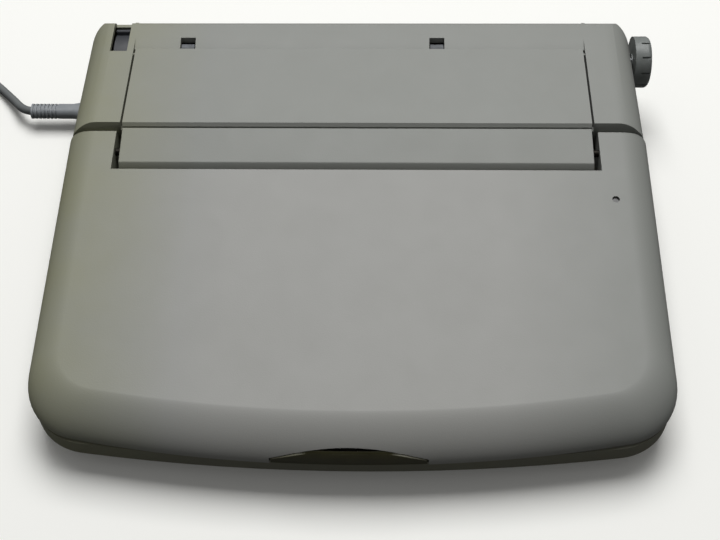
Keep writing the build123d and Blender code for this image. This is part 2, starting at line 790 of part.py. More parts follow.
def make_print_carriage():
    x = carriage_span(carriage_width)
    body = block(x, carriage_d, carriage_z)
    for d, z in (front_rod, rear_rod):
        body += bar_x(x, d, z, rod_radius + 2.4)
    arm_d = (head_front_d() + head_thickness, carriage_d[0] + 2)
    body += block((x[0] + 9, x[1] - 9), arm_d, (carriage_z[0], platen_z + head_height / 2))
    strand_d = pulley_d - pulley_radius - belt_thickness / 2
    belt_mid_z = sum(pulley_z()) / 2
    body += block((x[0] + 14, x[1] - 14), (strand_d - 2.2, strand_d + 2.2),
                  (belt_mid_z - 3.0, carriage_z[0] + 1))
    body -= block((x[0] - 1, x[1] + 1), (strand_d - 0.9, strand_d + 0.9),
                  (belt_mid_z - belt_height / 2 - 0.4, belt_mid_z + belt_height / 2 + 0.4))
    for d, z in (front_rod, rear_rod):
        body -= bar_x((x[0] - 1, x[1] + 1), d, z, rod_radius + running_gap)
    return body


def make_thermal_head():
    x = carriage_span(head_width)
    face = head_front_d()
    return block(x, (face, face + head_thickness), (platen_z - head_height / 2, platen_z + head_height / 2))


def make_ribbon_cassette():
    x = carriage_span(cassette_width)
    z = (carriage_z[1], carriage_z[1] + cassette_height)
    shell = block(x, cassette_d, z)
    shell = fillet(shell.edges().filter_by(Axis.Z), cassette_round)
    for side in (-1, 1):
        spool = post(carriage_home_x + side * cassette_width / 4, sum(cassette_d) / 2,
                     (z[1] - 2.0, z[1] + 1), 4.0)
        shell -= spool
    return shell


def pulley_z():
    low = chassis_floor_z + chassis_sheet + 0.6
    return (low, low + pulley_height)


def pulley_solid(x, bore):
    low, high = pulley_z()
    groove = (high - low - belt_height) / 2 - 0.2
    wheel = post(x, pulley_d, (low, high), pulley_radius)
    for z0, z1 in ((low, low + groove), (high - groove, high)):
        wheel += post(x, pulley_d, (z0, z1), pulley_radius + 1.6)
    return wheel - post(x, pulley_d, (low - 1, high + 1), bore)


def make_idler_pulley():
    return pulley_solid(pulley_x, pulley_pin_radius + running_gap)


def make_drive_pulley():
    shaft_low = chassis_floor_z - 0.8
    return pulley_solid(-pulley_x, 0.9) + post(-pulley_x, pulley_d, (shaft_low, pulley_z()[1]), 1.2)


def make_drive_belt():
    low, high = pulley_z()
    mid = (low + high) / 2

    def loop(radius):
        slab = block((-pulley_x, pulley_x), (pulley_d - radius, pulley_d + radius),
                     (mid - belt_height / 2, mid + belt_height / 2))
        ends = [post(x, pulley_d, (mid - belt_height / 2, mid + belt_height / 2), radius)
                for x in (-pulley_x, pulley_x)]
        return joined([slab] + ends)

    inside = pulley_radius + 0.15
    return loop(inside + belt_thickness) - loop(inside)


def make_belt_motor():
    top = chassis_floor_z
    body = post(-pulley_x, pulley_d, (floor_z + 0.4, top), belt_motor_radius)
    return body - post(-pulley_x, pulley_d, (top - 3, top + 1), 1.8)


# ---- hinge cover, brackets and pins ----
def strip_outline(inset):
    top = strip_top_z - inset
    radius = strip_front_radius - inset
    lift = top - hinge_z
    start = math.degrees(math.asin(lift / radius))
    rear = strip_rear_d + inset
    low = hinge_z - 22
    curve = [(hinge_d + radius * math.cos(math.radians(a)), hinge_z + radius * math.sin(math.radians(a)))
             for a in [start * (1 - k / 8) for k in range(9)]]
    points = [(rear, low), (rear, top - 0.8), (rear + 0.8, top)] + curve + [(hinge_d + radius, low)]
    return points


def make_hinge_cover():
    outer = side_prism(strip_outline(0), (-strip_half_width, strip_half_width))
    inner = side_prism(strip_outline(strip_wall),
                       (-strip_half_width + strip_wall, strip_half_width - strip_wall))
    cover = outer - inner
    cover -= lid_block((-body_width, body_width), (-60, 60), (deck_w - 60, deck_w))
    for side in (-1, 1):
        span = mirrored_span(side, strip_half_width - strip_wall - 1, strip_half_width + 1)
        cover -= bar_x(span, hinge_d, hinge_z, hinge_pin_radius + running_gap)
    return cover


def make_hinge_brackets():
    def bracket(side):
        span = mirrored_span(side, *bracket_x)
        upright = mirrored_span(side, bracket_x[1] - bracket_sheet * 2, bracket_x[1])
        foot = lid_block(span, (-6.0, 8.0), (deck_w, deck_w + bracket_sheet))
        plate = block(upright, (hinge_d - 3.5, hinge_d + 3.5), (rim_hinge_z + deck_w + 0.6, hinge_z))
        barrel = bar_x(span, hinge_d, hinge_z, bracket_barrel_radius)
        bore = bar_x((span[0] - 1, span[1] + 1), hinge_d, hinge_z, hinge_pin_radius + 0.02)
        return foot + plate + barrel - bore

    return group(both_sides(bracket))


def make_hinge_pins():
    return group(both_sides(lambda side: bar_x(
        mirrored_span(side, bracket_x[0], ear_inner_x + hinge_boss_length - 1.0), hinge_d, hinge_z,
        hinge_pin_radius)))


# ---- lid ----
def latch_outline(gap):
    """The lens-shaped front of the latch, as an X-Z face with its lower edge open downward."""
    half = latch_half_width + gap
    rise = latch_height + gap
    end_rise = rise * 0.42
    base = Polyline((-half, end_rise), (-half, -4), (half, -4), (half, end_rise))
    return make_face([base, ThreePointArc((half, end_rise), (0, rise), (-half, end_rise))])


def behind_front(depth):
    """All of the lid's inside that lies more than a depth behind its bowed front."""
    face = bowed_face(lid_half * 0.6, lid_length - depth, lid_length - 60, lid_bow_radius, 1.0)
    return lid_frame * extrude(Pos(0, 0, -10) * face, 60)


def latch_zone(gap, depth):
    """The prism of the latch, from in front of the lid to a depth behind its bowed front."""
    prism = lid_frame * Pos(0, -lid_length, 0) * extrude(Plane.XZ * latch_outline(gap), 30, both=True)
    return prism - behind_front(depth)


def lid_prism(points, x):
    """A prism along X whose outline is given as (v, w) points in the lid's frame."""
    face = make_face(Polyline([(-v, w) for v, w in points], close=True))
    return lid_frame * extrude(Plane((x[0], 0, 0), x_dir=(0, 1, 0), z_dir=(1, 0, 0)) * face, x[1] - x[0])


def hook_v():
    return lid_length - latch_reach


def latch_guides():
    """Ribs in the lid on both sides of each latch arm."""
    ribs = []
    for side in (-1, 1):
        for edge in (-1, 1):
            inner = side * latch_arm_x + edge * (latch_arm_width / 2 + fit_gap)
            x = tuple(sorted((inner, inner + edge * latch_guide_thickness)))
            rib = lid_block(x, (hook_v() - latch_arm_tail + 1.0, hook_v() + 3.0),
                            (latch_arm_w - 0.3, lid_thickness - wall / 2))
            ribs.append(rib & lid_form(wall / 2))
    return joined(ribs)


def make_lid_shell():
    x_all = (-lid_width, lid_width)
    outer = lid_form(0) & hinge_side(ear_radius, x_all)
    cavity = lid_form(wall) & hinge_side(ear_radius - wall, x_all)
    cut_v = lid_reach(cutout_front_d)
    frame_x = ear_inner_x + wall
    cavity -= lid_block((-frame_x, frame_x), (-40, cut_v + wall), (-20, 40))
    for side in (-1, 1):
        boss = mirrored_span(side, ear_inner_x, ear_inner_x + hinge_boss_length)
        cavity -= bar_x(boss, hinge_d, hinge_z, hinge_boss_radius)
        cavity -= block(boss, (hinge_d - 2.5, hinge_d + 2.5), (hinge_z, hinge_z + 10))
    shell = outer - cavity
    shell -= lid_block((-ear_inner_x, ear_inner_x), (-40, cut_v), (-20, 40))
    for side in (-1, 1):
        bore = mirrored_span(side, ear_inner_x - 1, ear_inner_x + hinge_boss_length - 0.6)
        shell -= bar_x(bore, hinge_d, hinge_z, hinge_pin_radius + running_gap)
    shell -= latch_zone(latch_gap, 9.0)
    shell -= lid_post(indicator_x, lid_reach(indicator_d), (lid_thickness - 6, lid_thickness + 2),
                      indicator_radius)
    return shell + latch_guides()


def make_lid_latch():
    face = (lid_form(0.2) & latch_zone(0, 12.0)) - behind_front(latch_thickness)
    back = latch_zone(0, latch_thickness + 1.4) & lid_form(1.0)
    face += back - behind_front(latch_thickness + 1.4)
    face &= lid_block((-lid_half, lid_half), (lid_length - 40, lid_length + 5), (0.2, 30))
    hook_low = deck_w - deck_plate - 2.6
    pieces = [face]
    for side in (-1, 1):
        x = mirrored_span(side, latch_arm_x - latch_arm_width / 2, latch_arm_x + latch_arm_width / 2)
        v = hook_v()
        w0 = latch_arm_w
        front = lid_length - latch_thickness - 0.6
        pieces.append(lid_block(x, (v - latch_arm_tail, front), (w0, w0 + latch_arm_height)))
        tip = v + latch_hook_thickness + latch_hook_bite
        inner = v + latch_hook_thickness
        under = deck_w - deck_plate - 0.2
        pieces.append(lid_prism([(v, w0 + latch_arm_height), (v, hook_low), (inner, hook_low),
                                 (tip, under - 0.8), (tip, under), (inner, under),
                                 (inner, w0 + latch_arm_height)], x))
    return joined(pieces)


def make_latch_spring():
    """A leaf spring: its foot against the roof of the lid, its blade against the back of the latch."""
    back = lid_length - latch_thickness - 1.4
    heel = back - 10.0
    outline = [(heel - 6.0, 12.0), (heel - 6.0, lid_thickness), (heel, lid_thickness), (heel + 0.4, 11.2),
               (back - 0.1, 5.2), (back - 0.6, 5.0), (heel - 0.4, 10.6)]
    return lid_prism(outline, (-4.0, 4.0)) & lid_form(wall)


def bezel_span():
    return (bezel_recess, bezel_recess + bezel_thickness)


def window_span():
    return (window_reach, window_reach + window_height)


def make_lid_bezel():
    w0, w1 = bezel_span()
    inset = wall + fit_gap
    face = bowed_face(lid_half - inset, lid_length - inset, 0.5, lid_bow_radius, front_corner_radius - inset)
    plate = lid_frame * extrude(Pos(0, 0, w0) * face, w1 - w0)
    cut_v = lid_reach(cutout_front_d)
    frame_x = ear_inner_x + wall + fit_gap
    plate -= lid_block((-frame_x, frame_x), (-40, cut_v + wall + fit_gap), (-5, 10))
    plate -= lid_block((-window_width / 2, window_width / 2), window_span(), (-5, 10))
    plate -= hook_slots(latch_travel + 1.0, 1.0, (-5, 10))
    return plate - latch_zone(latch_gap + 0.6, latch_thickness + latch_travel + 2.4)


def hook_slots(behind, ahead, w):
    """Slots for the latch hooks, with room behind and ahead of each."""
    slots = []
    for side in (-1, 1):
        x = mirrored_span(side, latch_arm_x - latch_arm_width / 2 - 0.8,
                          latch_arm_x + latch_arm_width / 2 + 0.8)
        slots.append(lid_block(x, (hook_v() - behind, hook_v() + latch_hook_thickness + ahead), w))
    return joined(slots)


def make_display_window():
    w1 = bezel_span()[1]
    v = window_span()
    return lid_block((-window_width / 2 - 4, window_width / 2 + 4), (v[0] - 4, v[1] + 4),
                     (w1, w1 + window_thickness))


def make_display_module():
    w1 = bezel_span()[1] + window_thickness
    v = window_span()
    b = display_border
    return lid_block((-window_width / 2 - b, window_width / 2 + b), (v[0] - b, v[1] + b),
                     (w1, w1 + display_thickness))


def make_indicator_lens():
    top = lid_thickness - indicator_depth
    lens = lid_post(indicator_x, lid_reach(indicator_d), (top - 3.0, top), indicator_radius - 0.1)
    flange = lid_post(indicator_x, lid_reach(indicator_d), (lid_thickness - wall - 1.2, lid_thickness - wall),
                      indicator_radius + 1.2)
    return lens + flange


# ---- keyboard deck ----
def key_field_half():
    return key_pitch * 15 / 2


def row_v(row):
    """Reach of the middle of a key row; row 0 is the function row."""
    if row == 0:
        return keyboard_reach + function_row_pitch / 2
    return keyboard_reach + function_row_pitch + 2.0 + key_pitch * (row - 0.5)


def keyboard_v():
    return (keyboard_reach - keyboard_margin, row_v(5) + key_pitch / 2 + keyboard_margin)


def plate_post_places():
    v0, v1 = keyboard_v()
    x = key_field_half() + keyboard_margin + keyboard_plate_border - 2.4
    for side in (-1, 1):
        for v in (v0 + 4, (v0 + v1) / 2, v1 - 12):
            yield side * x, v


def make_keyboard_deck():
    top_plane = lid_block((-body_width, body_width), (-body_depth, body_depth), (-rim_gap, 2 * body_height))
    shell = case_prism(0, (seam_z, body_height)) - top_plane
    shell &= block((-body_width, body_width), (cap_front_d + fit_gap, body_depth), (0, body_height))
    inner = case_prism(wall, (seam_z - 1, body_height))
    plate = inner & lid_block((-body_width, body_width), (-body_depth, body_depth),
                              (deck_w - deck_plate, deck_w))
    shell = (shell - inner) + (plate & block((-body_width, body_width), (cap_front_d + fit_gap, body_depth),
                                             (0, body_height)))
    v0, v1 = keyboard_v()
    half = key_field_half() + keyboard_margin
    shell -= lid_block((-half, half), (v0, v1), (-20, 5))
    for x, v in plate_post_places():
        post_w = (plate_w + keyboard_plate_sheet, deck_w - deck_plate + 0.5)
        shell += lid_post(x, v, post_w, plate_post_radius)
    shell -= hook_slots(latch_travel + 0.6, 0.3, (-20, 5))
    shell -= lid_block((switch_x - switch_length / 2, switch_x + switch_length / 2),
                       (switch_reach - switch_width / 2, switch_reach + switch_width / 2), (-20, 5))
    shell -= block((body_half - wall - 2, body_half + 1), (drive_d[0] - fit_gap, drive_d[1] + fit_gap),
                   (seam_z - 1, drive_z[1] + fit_gap))
    for x, d in case_screw_places():
        under = rim_hinge_z - (d - hinge_d) * math.tan(math.radians(lid_tilt)) + deck_w - deck_plate
        if d > cap_front_d:
            shell += post(x, d, (seam_z + 0.2, under + deck_plate * 0.8), case_boss_radius)
            shell -= post(x, d, (seam_z, seam_z + 4.0), case_screw_radius + 0.1)
    return shell


def make_keyboard_plate():
    v0, v1 = keyboard_v()
    half = key_field_half() + keyboard_margin + keyboard_plate_border - 0.2
    plate = lid_block((-half, half), (v0 - 4, v1 + 0.8), (plate_w, plate_w + keyboard_plate_sheet))
    plate &= case_prism(wall + 0.6, (0, body_height))
    hole = key_stem / 2 + fit_gap
    through = (plate_w - 1, plate_w + 2)
    holes = [lid_block((x - hole, x + hole), (row_v(row) - hole, row_v(row) + hole), through)
             for name, (row, _) in key_rows.items() for x, _ in key_places(name)]
    return plate.cut(*holes)


# Each row: its number from the rear, and its keys' widths in units; a negative width is a space.
key_rows = {
    "function_keys": (0, [15 / 16] * 16),
    "number_row_keys": (1, [1] * 15),
    "upper_row_keys": (2, [1.5] + [1] * 12 + [1.5]),
    "home_row_keys": (3, [1.75] + [1] * 11 + [2.25]),
    "lower_row_keys": (4, [2.25] + [1] * 11 + [1.75]),
    "bottom_row_keys": (5, [1.25, 1.25, 1.25, -4.5, 1.25, 1.25, 1.25, 1, 1, 1]),
    "space_bar": (5, [-3.75, 4.5, -6.75]),
}


def key_places(name):
    """The middle and width of each key in a row."""
    widths = [key_pitch * w for w in key_rows[name][1]]
    x = -sum(abs(w) for w in widths) / 2
    for width in widths:
        if width > 0:
            yield x + width / 2, width
        x += abs(width)


def make_keys(name):
    row = key_rows[name][0]
    depth = key_pitch if row else function_row_pitch
    low = key_proud - key_cap_height
    caps = []
    for x, width in key_places(name):
        cap = extrude(Rectangle(width - key_gap, depth - key_gap), key_cap_height, taper=key_taper)
        stem = Pos(0, 0, -key_travel / 2 - 0.6) * Box(key_stem, key_stem, key_travel + 2.2)
        caps.append(lid_frame * Pos(x, -row_v(row), low) * (cap + stem))
    return group(caps)


def make_power_switch():
    length = switch_length - switch_travel - 1.0
    x0 = switch_x - switch_length / 2 + 0.5
    v = (switch_reach - switch_width / 2 + 0.4, switch_reach + switch_width / 2 - 0.4)
    knob = lid_block((x0, x0 + length), v, (deck_w - deck_plate - 1.0, deck_w + 1.6))
    flange = lid_block((x0 - 2, x0 + length + 2), (v[0] - 2, v[1] + 2),
                       (deck_w - deck_plate - 1.6, deck_w - deck_plate - 0.3))
    return knob + flange


# ---- boards ----
def make_main_board():
    return block(main_board_x, main_board_d, (board_z, board_z + board_sheet))


def make_board_chips():
    top = board_z + board_sheet
    chips = []
    for x, d, length, depth in ((-110, 132, 28, 28), (-60, 132, 20, 20), (-20, 130, 24, 12),
                                (-110, 178, 34, 14), (-62, 178, 34, 14), (-14, 180, 22, 22),
                                (-100, 214, 18, 10), (-60, 214, 18, 10)):
        footprint = ((x - length / 2, x + length / 2), (d - depth / 2, d + depth / 2))
        chips.append(block(*footprint, (top, top + 2.4)))
    return group(chips)


def make_power_board():
    return block(power_board_x, power_board_d, (board_z, board_z + board_sheet))


def make_power_transformer():
    x = sum(power_board_x) / 2
    low = board_z + board_sheet
    core = block((x - 7.5, x + 7.5), (power_board_d[0] + 4, power_board_d[0] + 22), (low, low + 14))
    return group([core, post(x, power_board_d[1] - 8, (low, low + 16), 6.0)])


def make_backup_battery():
    low = board_z + board_sheet
    return post(-134.0, 212.0, (low, low + battery_height), battery_radius)


# ---- disk drive ----
def make_disk_drive():
    body = block((drive_x_rear, body_half - drive_bezel_depth - 0.2), drive_d, drive_z)
    slot_d = (sum(drive_d) / 2 - drive_slot_length / 2, sum(drive_d) / 2 + drive_slot_length / 2)
    return body - block((drive_x_rear + 18, body_half + 1), slot_d, drive_slot_z)


def make_drive_bezel():
    body = block((body_half - drive_bezel_depth, body_half - 0.2), drive_d, (drive_z[0] + 0.6, drive_z[1]))
    slot_d = (sum(drive_d) / 2 - drive_slot_length / 2, sum(drive_d) / 2 + drive_slot_length / 2)
    body -= block((body_half - 8, body_half + 1), slot_d, drive_slot_z)
    return body


# ---- power inlet and connector ----
def inlet_plane(x):
    return Plane((x, y_at(inlet_d), inlet_z), x_dir=(0, 1, 0), z_dir=(1, 0, 0))


def stadium_x(size, x):
    """A flat-sided oval prism along X at the inlet; size is its width along d and its height."""
    return extrude(inlet_plane(x[0]) * SlotOverall(*size), x[1] - x[0])


def inlet_face_x():
    return -body_half + 1.0


def make_power_inlet():
    x0 = inlet_face_x()
    body = block((x0, x0 + inlet_depth), (inlet_d - inlet_width / 2, inlet_d + inlet_width / 2),
                 (floor_z + 0.1, seam_z - 0.1))
    body -= stadium_x(plug_hole, (x0 - 1, x0 + plug_hole_depth))
    for side in (-1, 1):
        body += bar_x((x0 + 2.0, x0 + plug_hole_depth + 1), inlet_d + side * inlet_pin_pitch / 2, inlet_z,
                      inlet_pin_radius)
    return body


def head_outer_x():
    return -body_half - connector_side_gap - connector_head_length


def relief_start_x():
    return head_outer_x() - connector_taper_length - connector_waist_length


def relief_end_x():
    return relief_start_x() - relief_grooves * relief_pitch


def make_cord_connector():
    x0 = inlet_face_x()
    nose = stadium_x((plug_hole[0] - 0.3, plug_hole[1] - 0.3),
                     (-body_half - connector_side_gap - 1.0, x0 + plug_hole_depth - 0.4))
    for side in (-1, 1):
        nose -= bar_x((x0, x0 + plug_hole_depth + 1), inlet_d + side * inlet_pin_pitch / 2, inlet_z,
                      inlet_pin_radius + 0.1)
    head = stadium_x(connector_head, (head_outer_x(), -body_half - connector_side_gap))
    taper_end = head_outer_x() - connector_taper_length
    neck = loft([inlet_plane(x) * SlotOverall(*size)
                 for size, x in ((connector_head, head_outer_x()), (connector_waist, taper_end))])
    waist = stadium_x(connector_waist, (relief_start_x(), taper_end))
    core = stadium_x(relief_core, (relief_end_x(), relief_start_x()))
    ribs = []
    for k in range(relief_grooves):
        x = relief_start_x() - k * relief_pitch - relief_groove_width
        ribs.append(stadium_x(connector_waist, (x - relief_pitch + relief_groove_width, x)))
    return joined([nose, head, neck, waist, core] + ribs) - laid_cord(lead_path())


# ---- lead ----
def coil_radii():
    spread = coil_turns_in * cord_turn_pitch / 2
    return coil_mean_radius + spread, coil_mean_radius - spread


def coil_total_degrees():
    return coil_turns_total * 360 + coil_exit_angle - coil_entry_angle


def eased(share):
    return (1 - math.cos(math.pi * min(max(share, 0.0), 1.0))) / 2


def coil_point(angle):
    """A point of the coil after a turn of angle degrees: in at the bottom, out on top."""
    inner = coil_radii()[1]
    climb_start = coil_turns_in * 360
    reverse = climb_start + coil_climb_degrees / 2
    radius = inner + cord_turn_pitch * (abs(angle - reverse) - coil_climb_degrees / 2) / 360
    z = cord_diameter / 2 + cord_turn_pitch * eased((angle - climb_start) / coil_climb_degrees)
    a = math.radians(coil_entry_angle + angle)
    return Vector(coil_centre[0] + radius * math.cos(a), y_at(coil_centre[1]) + radius * math.sin(a), z)


def coil_tangent(angle):
    return (coil_point(angle + 0.5) - coil_point(angle - 0.5)).normalized()


def biarc(start, start_dir, end, end_dir):
    """Two arcs that join two points with given directions smoothly."""
    chord = end - start
    both = start_dir + end_dir
    bend = 2 * (1 - start_dir.dot(end_dir))
    along = chord.dot(both)
    reach = (-along + math.sqrt(along * along + bend * chord.dot(chord))) / bend
    a = start + start_dir * reach
    b = end - end_dir * reach
    middle = (a + b) * 0.5
    return [Edge.make_tangent_arc(start, start_dir, middle),
            Edge.make_tangent_arc(middle, (b - a).normalized(), end)]


def coil_wire():
    total = coil_total_degrees()
    steps = round(total / 90)
    edges = []
    for k in range(steps):
        a0, a1 = total * k / steps, total * (k + 1) / steps
        edges += biarc(coil_point(a0), coil_tangent(a0), coil_point(a1), coil_tangent(a1))
    return Wire(edges)


def laid_cord(path):
    return sweep(Plane(path @ 0, z_dir=path % 0) * Circle(cord_diameter / 2), path=path)


def report_cord(name, tube, path):
    share = tube.volume / (path.length * math.pi * cord_diameter ** 2 / 4)
    print(f"{name}: {path.length:.1f} mm, volume over section times length {share:.4f}")


def make_lead_coil():
    step = 6
    points = [coil_point(a) for a in range(0, int(coil_total_degrees()) + 1, step)]
    least = min((p - q).length for i, p in enumerate(points) for q in points[i + 180 // step:])
    print(f"coil: least gap to itself {least - cord_diameter:.2f} mm")
    path = coil_wire()
    tube = laid_cord(path)
    report_cord("coil", tube, path)
    return tube


def lead_points():
    """The points that the free lead is laid by, from inside its connector to the coil."""
    end = coil_point(0)
    return [
        Vector(relief_end_x() + cord_socket, y_at(inlet_d), inlet_z),
        Vector(-206.2, y_at(inlet_d), inlet_z),
        Vector(-216.5, y_at(15.6), 5.2),
        end - coil_tangent(0) * lead_last_run,
        end,
    ]


def lead_radii():
    points = lead_points()
    radii = []
    for a, b, c in zip(points, points[1:], points[2:]):
        turn = (b - a).get_angle(c - b)
        shorter = min((b - a).length, (c - b).length)
        radii.append(0.45 * shorter / math.tan(math.radians(turn) / 2))
    return radii


def lead_path():
    return FilletPolyline(*lead_points(), radius=lead_radii())


def make_power_lead():
    path = lead_path()
    tube = laid_cord(path)
    print("lead: bend radii", " ".join(f"{r:.1f}" for r in lead_radii()))
    print(f"lead: {path.length + coil_wire().length + tail_length:.0f} mm from end to end")
    report_cord("free lead", tube, path)
    return tube


def tail_plane(reach=0.0):
    """Plane across the lead beyond the coil's end."""
    end = coil_point(coil_total_degrees())
    heading = coil_tangent(coil_total_degrees())
    flat = Vector(heading.X, heading.Y, 0).normalized()
    return Plane(end + flat * reach, x_dir=Vector(-flat.Y, flat.X, 0), z_dir=flat)


def make_lead_tail():
    return extrude(tail_plane() * Circle(cord_diameter / 2), tail_length + cord_socket)


def plug_body_reach():
    return tail_length + mains_relief_length


def make_mains_plug():
    width, height = mains_body[1], 2 * tail_plane().origin.Z
    relief = loft([tail_plane(tail_length) * SlotOverall(*mains_relief),
                   tail_plane(plug_body_reach()) * SlotOverall(width * 0.8, height * 0.7)])
    body = extrude(tail_plane(plug_body_reach()) * RectangleRounded(width, height, 3.0), mains_body[0])
    return relief + body - extrude(tail_plane(tail_length - 1) * Circle(cord_diameter / 2), cord_socket + 1)


def make_plug_blades():
    length, width, thickness = blade_size
    plane = tail_plane(plug_body_reach() + mains_body[0])
    return group(extrude(plane * Pos(side * blade_pitch / 2, 0) * Rectangle(thickness, width), length)
                 for side in (-1, 1))


nodes = {
    "lower_case": make_lower_case,
    "rubber_feet": make_rubber_feet,
    "case_screws": make_case_screws,
    "rear_housing": make_rear_housing,
    "printer_cover": make_printer_cover,
    "platen_shaft": make_platen_shaft,
    "platen_roller": make_platen_roller,
    "platen_knob": make_platen_knob,
    "platen_gear": make_platen_gear,
    "feed_idler_gear": make_feed_idler,
    "feed_pinion": make_feed_pinion,
    "feed_motor": make_feed_motor,
    "pinch_rollers": make_pinch_rollers,
    "pinch_roller_shaft": make_pinch_shaft,
    "paper_guide": make_paper_guide,
    "release_lever": make_release_lever,
    "printer_chassis": make_printer_chassis,
    "platen_bushings": make_platen_bushings,
    "guide_rods": make_guide_rods,
    "print_carriage": make_print_carriage,
    "thermal_head": make_thermal_head,
    "ribbon_cassette": make_ribbon_cassette,
    "drive_pulley": make_drive_pulley,
    "idler_pulley": make_idler_pulley,
    "drive_belt": make_drive_belt,
    "belt_motor": make_belt_motor,
    "hinge_cover": make_hinge_cover,
    "hinge_brackets": make_hinge_brackets,
    "hinge_pins": make_hinge_pins,
    "lid_shell": make_lid_shell,
    "lid_bezel": make_lid_bezel,
    "lid_latch": make_lid_latch,
    "latch_spring": make_latch_spring,
    "display_window": make_display_window,
    "display_module": make_display_module,
    "indicator_lens": make_indicator_lens,
    "keyboard_deck": make_keyboard_deck,
    "keyboard_plate": make_keyboard_plate,
    "power_switch": make_power_switch,
    "main_board": make_main_board,
    "board_chips": make_board_chips,
    "power_board": make_power_board,
    "power_transformer": make_power_transformer,
    "backup_battery": make_backup_battery,
    "disk_drive": make_disk_drive,
    "drive_bezel": make_drive_bezel,
    "power_inlet": make_power_inlet,
    "cord_connector": make_cord_connector,
    "power_lead": make_power_lead,
    "lead_coil": make_lead_coil,
    "lead_tail": make_lead_tail,
    "mains_plug": make_mains_plug,
    "plug_blades": make_plug_blades,
}

for name in key_rows:
    nodes[name] = lambda name=name: make_keys(name)

os.makedirs("parts", exist_ok=True)
shift = Pos(-centre_shift, 0, 0)
for name, make in nodes.items():
    solids = [solid.moved(shift) for solid in make().solids()]
    part = Compound(solids) if len(solids) > 1 else solids[0]
    part.label = name
    export_step(part, f"parts/{name}.step")
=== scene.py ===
import bpy
import bmesh
import json
import math
from mathutils import Matrix, Vector

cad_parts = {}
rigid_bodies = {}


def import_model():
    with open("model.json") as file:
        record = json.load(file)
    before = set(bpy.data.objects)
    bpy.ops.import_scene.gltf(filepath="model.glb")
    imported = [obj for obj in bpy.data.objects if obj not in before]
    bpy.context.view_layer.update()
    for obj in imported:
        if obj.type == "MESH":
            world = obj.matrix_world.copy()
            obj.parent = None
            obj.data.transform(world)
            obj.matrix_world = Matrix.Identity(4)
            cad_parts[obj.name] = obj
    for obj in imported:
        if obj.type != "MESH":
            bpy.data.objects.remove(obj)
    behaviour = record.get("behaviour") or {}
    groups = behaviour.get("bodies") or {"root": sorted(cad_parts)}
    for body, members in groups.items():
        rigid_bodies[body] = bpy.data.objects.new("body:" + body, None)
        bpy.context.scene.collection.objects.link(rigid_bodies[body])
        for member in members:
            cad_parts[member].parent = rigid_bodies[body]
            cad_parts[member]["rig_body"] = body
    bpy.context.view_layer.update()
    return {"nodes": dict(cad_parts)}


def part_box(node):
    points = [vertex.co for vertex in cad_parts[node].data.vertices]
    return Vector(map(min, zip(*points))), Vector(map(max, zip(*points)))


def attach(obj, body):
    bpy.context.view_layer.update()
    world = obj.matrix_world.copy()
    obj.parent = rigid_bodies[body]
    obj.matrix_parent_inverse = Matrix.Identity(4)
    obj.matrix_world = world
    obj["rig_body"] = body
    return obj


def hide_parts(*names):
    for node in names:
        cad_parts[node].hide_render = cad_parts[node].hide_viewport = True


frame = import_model()
cadNodes = frame["nodes"]
mm = 0.001

# The machine's own places are (x, -d, z) in millimetres, d forward of its rear face.
housingLow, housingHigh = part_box("rear_housing")
middleX = (housingLow[0] + housingHigh[0]) / 2
rearY = housingHigh[1]
placeMachine = Matrix.Translation((middleX, rearY, 0)) @ Matrix.Scale(mm, 4)

# The photographed view, its place measured like the machine's own, angles in degrees.
cameraView = {
    "place": (19.8, -537.4, 545.8),
    "yaw": 2.52,  # to the left
    "pitch": 54.0,  # below level
    "roll": -1.7,  # right side down
    "lens": 59.9,
    "sensor": 36.0,
}


def addCamera():
    yaw, pitch, roll = (math.radians(cameraView[k]) for k in ("yaw", "pitch", "roll"))
    ahead = Vector((-math.sin(yaw) * math.cos(pitch), math.cos(yaw) * math.cos(pitch), -math.sin(pitch)))
    right = ahead.cross(Vector((0, 0, 1))).normalized()
    up = right.cross(ahead)
    turnedRight = right * math.cos(roll) + up * math.sin(roll)
    turnedUp = up * math.cos(roll) - right * math.sin(roll)
    data = bpy.data.cameras.new("photoCamera")
    data.lens = cameraView["lens"]
    data.sensor_width = cameraView["sensor"]
    camera = bpy.data.objects.new("photoCamera", data)
    bpy.context.scene.collection.objects.link(camera)
    turned = Matrix((turnedRight, turnedUp, -ahead)).transposed().to_4x4()
    camera.matrix_world = Matrix.Translation(placeMachine @ Vector(cameraView["place"])) @ turned
    bpy.context.scene.camera = camera


addCamera()
print("camera set")


def toLinear(colour):
    channels = [int(colour[k:k + 2], 16) / 255 for k in (1, 3, 5)]
    return [c / 12.92 if c <= 0.04045 else ((c + 0.055) / 1.055) ** 2.4 for c in channels] + [1.0]


def addNode(tree, kind, settings=None, links=None):
    node = tree.nodes.new(kind)
    for name, value in (settings or {}).items():
        if name in node.inputs:
            node.inputs[name].default_value = value
        else:
            setattr(node, name, value)
    for name, source in (links or {}).items():
        tree.links.new(source, node.inputs[name])
    return node


def blankMaterial(name, shader):
    material = bpy.data.materials.new(name)
    material.use_nodes = True
    tree = material.node_tree
    tree.nodes.clear()
    surface = addNode(tree, "ShaderNodeBsdfPrincipled", shader)
    addNode(tree, "ShaderNodeOutputMaterial", None, {"Surface": surface.outputs["BSDF"]})
    place = addNode(tree, "ShaderNodeTexCoord").outputs["Object"]
    return material, tree, surface, place


# how deep a surface's grain is: a share of its width on mouldings, millimetres on metal
grainDepth = {"moulded": 0.3, "housing": 0.2, "metalMm": 0.02}


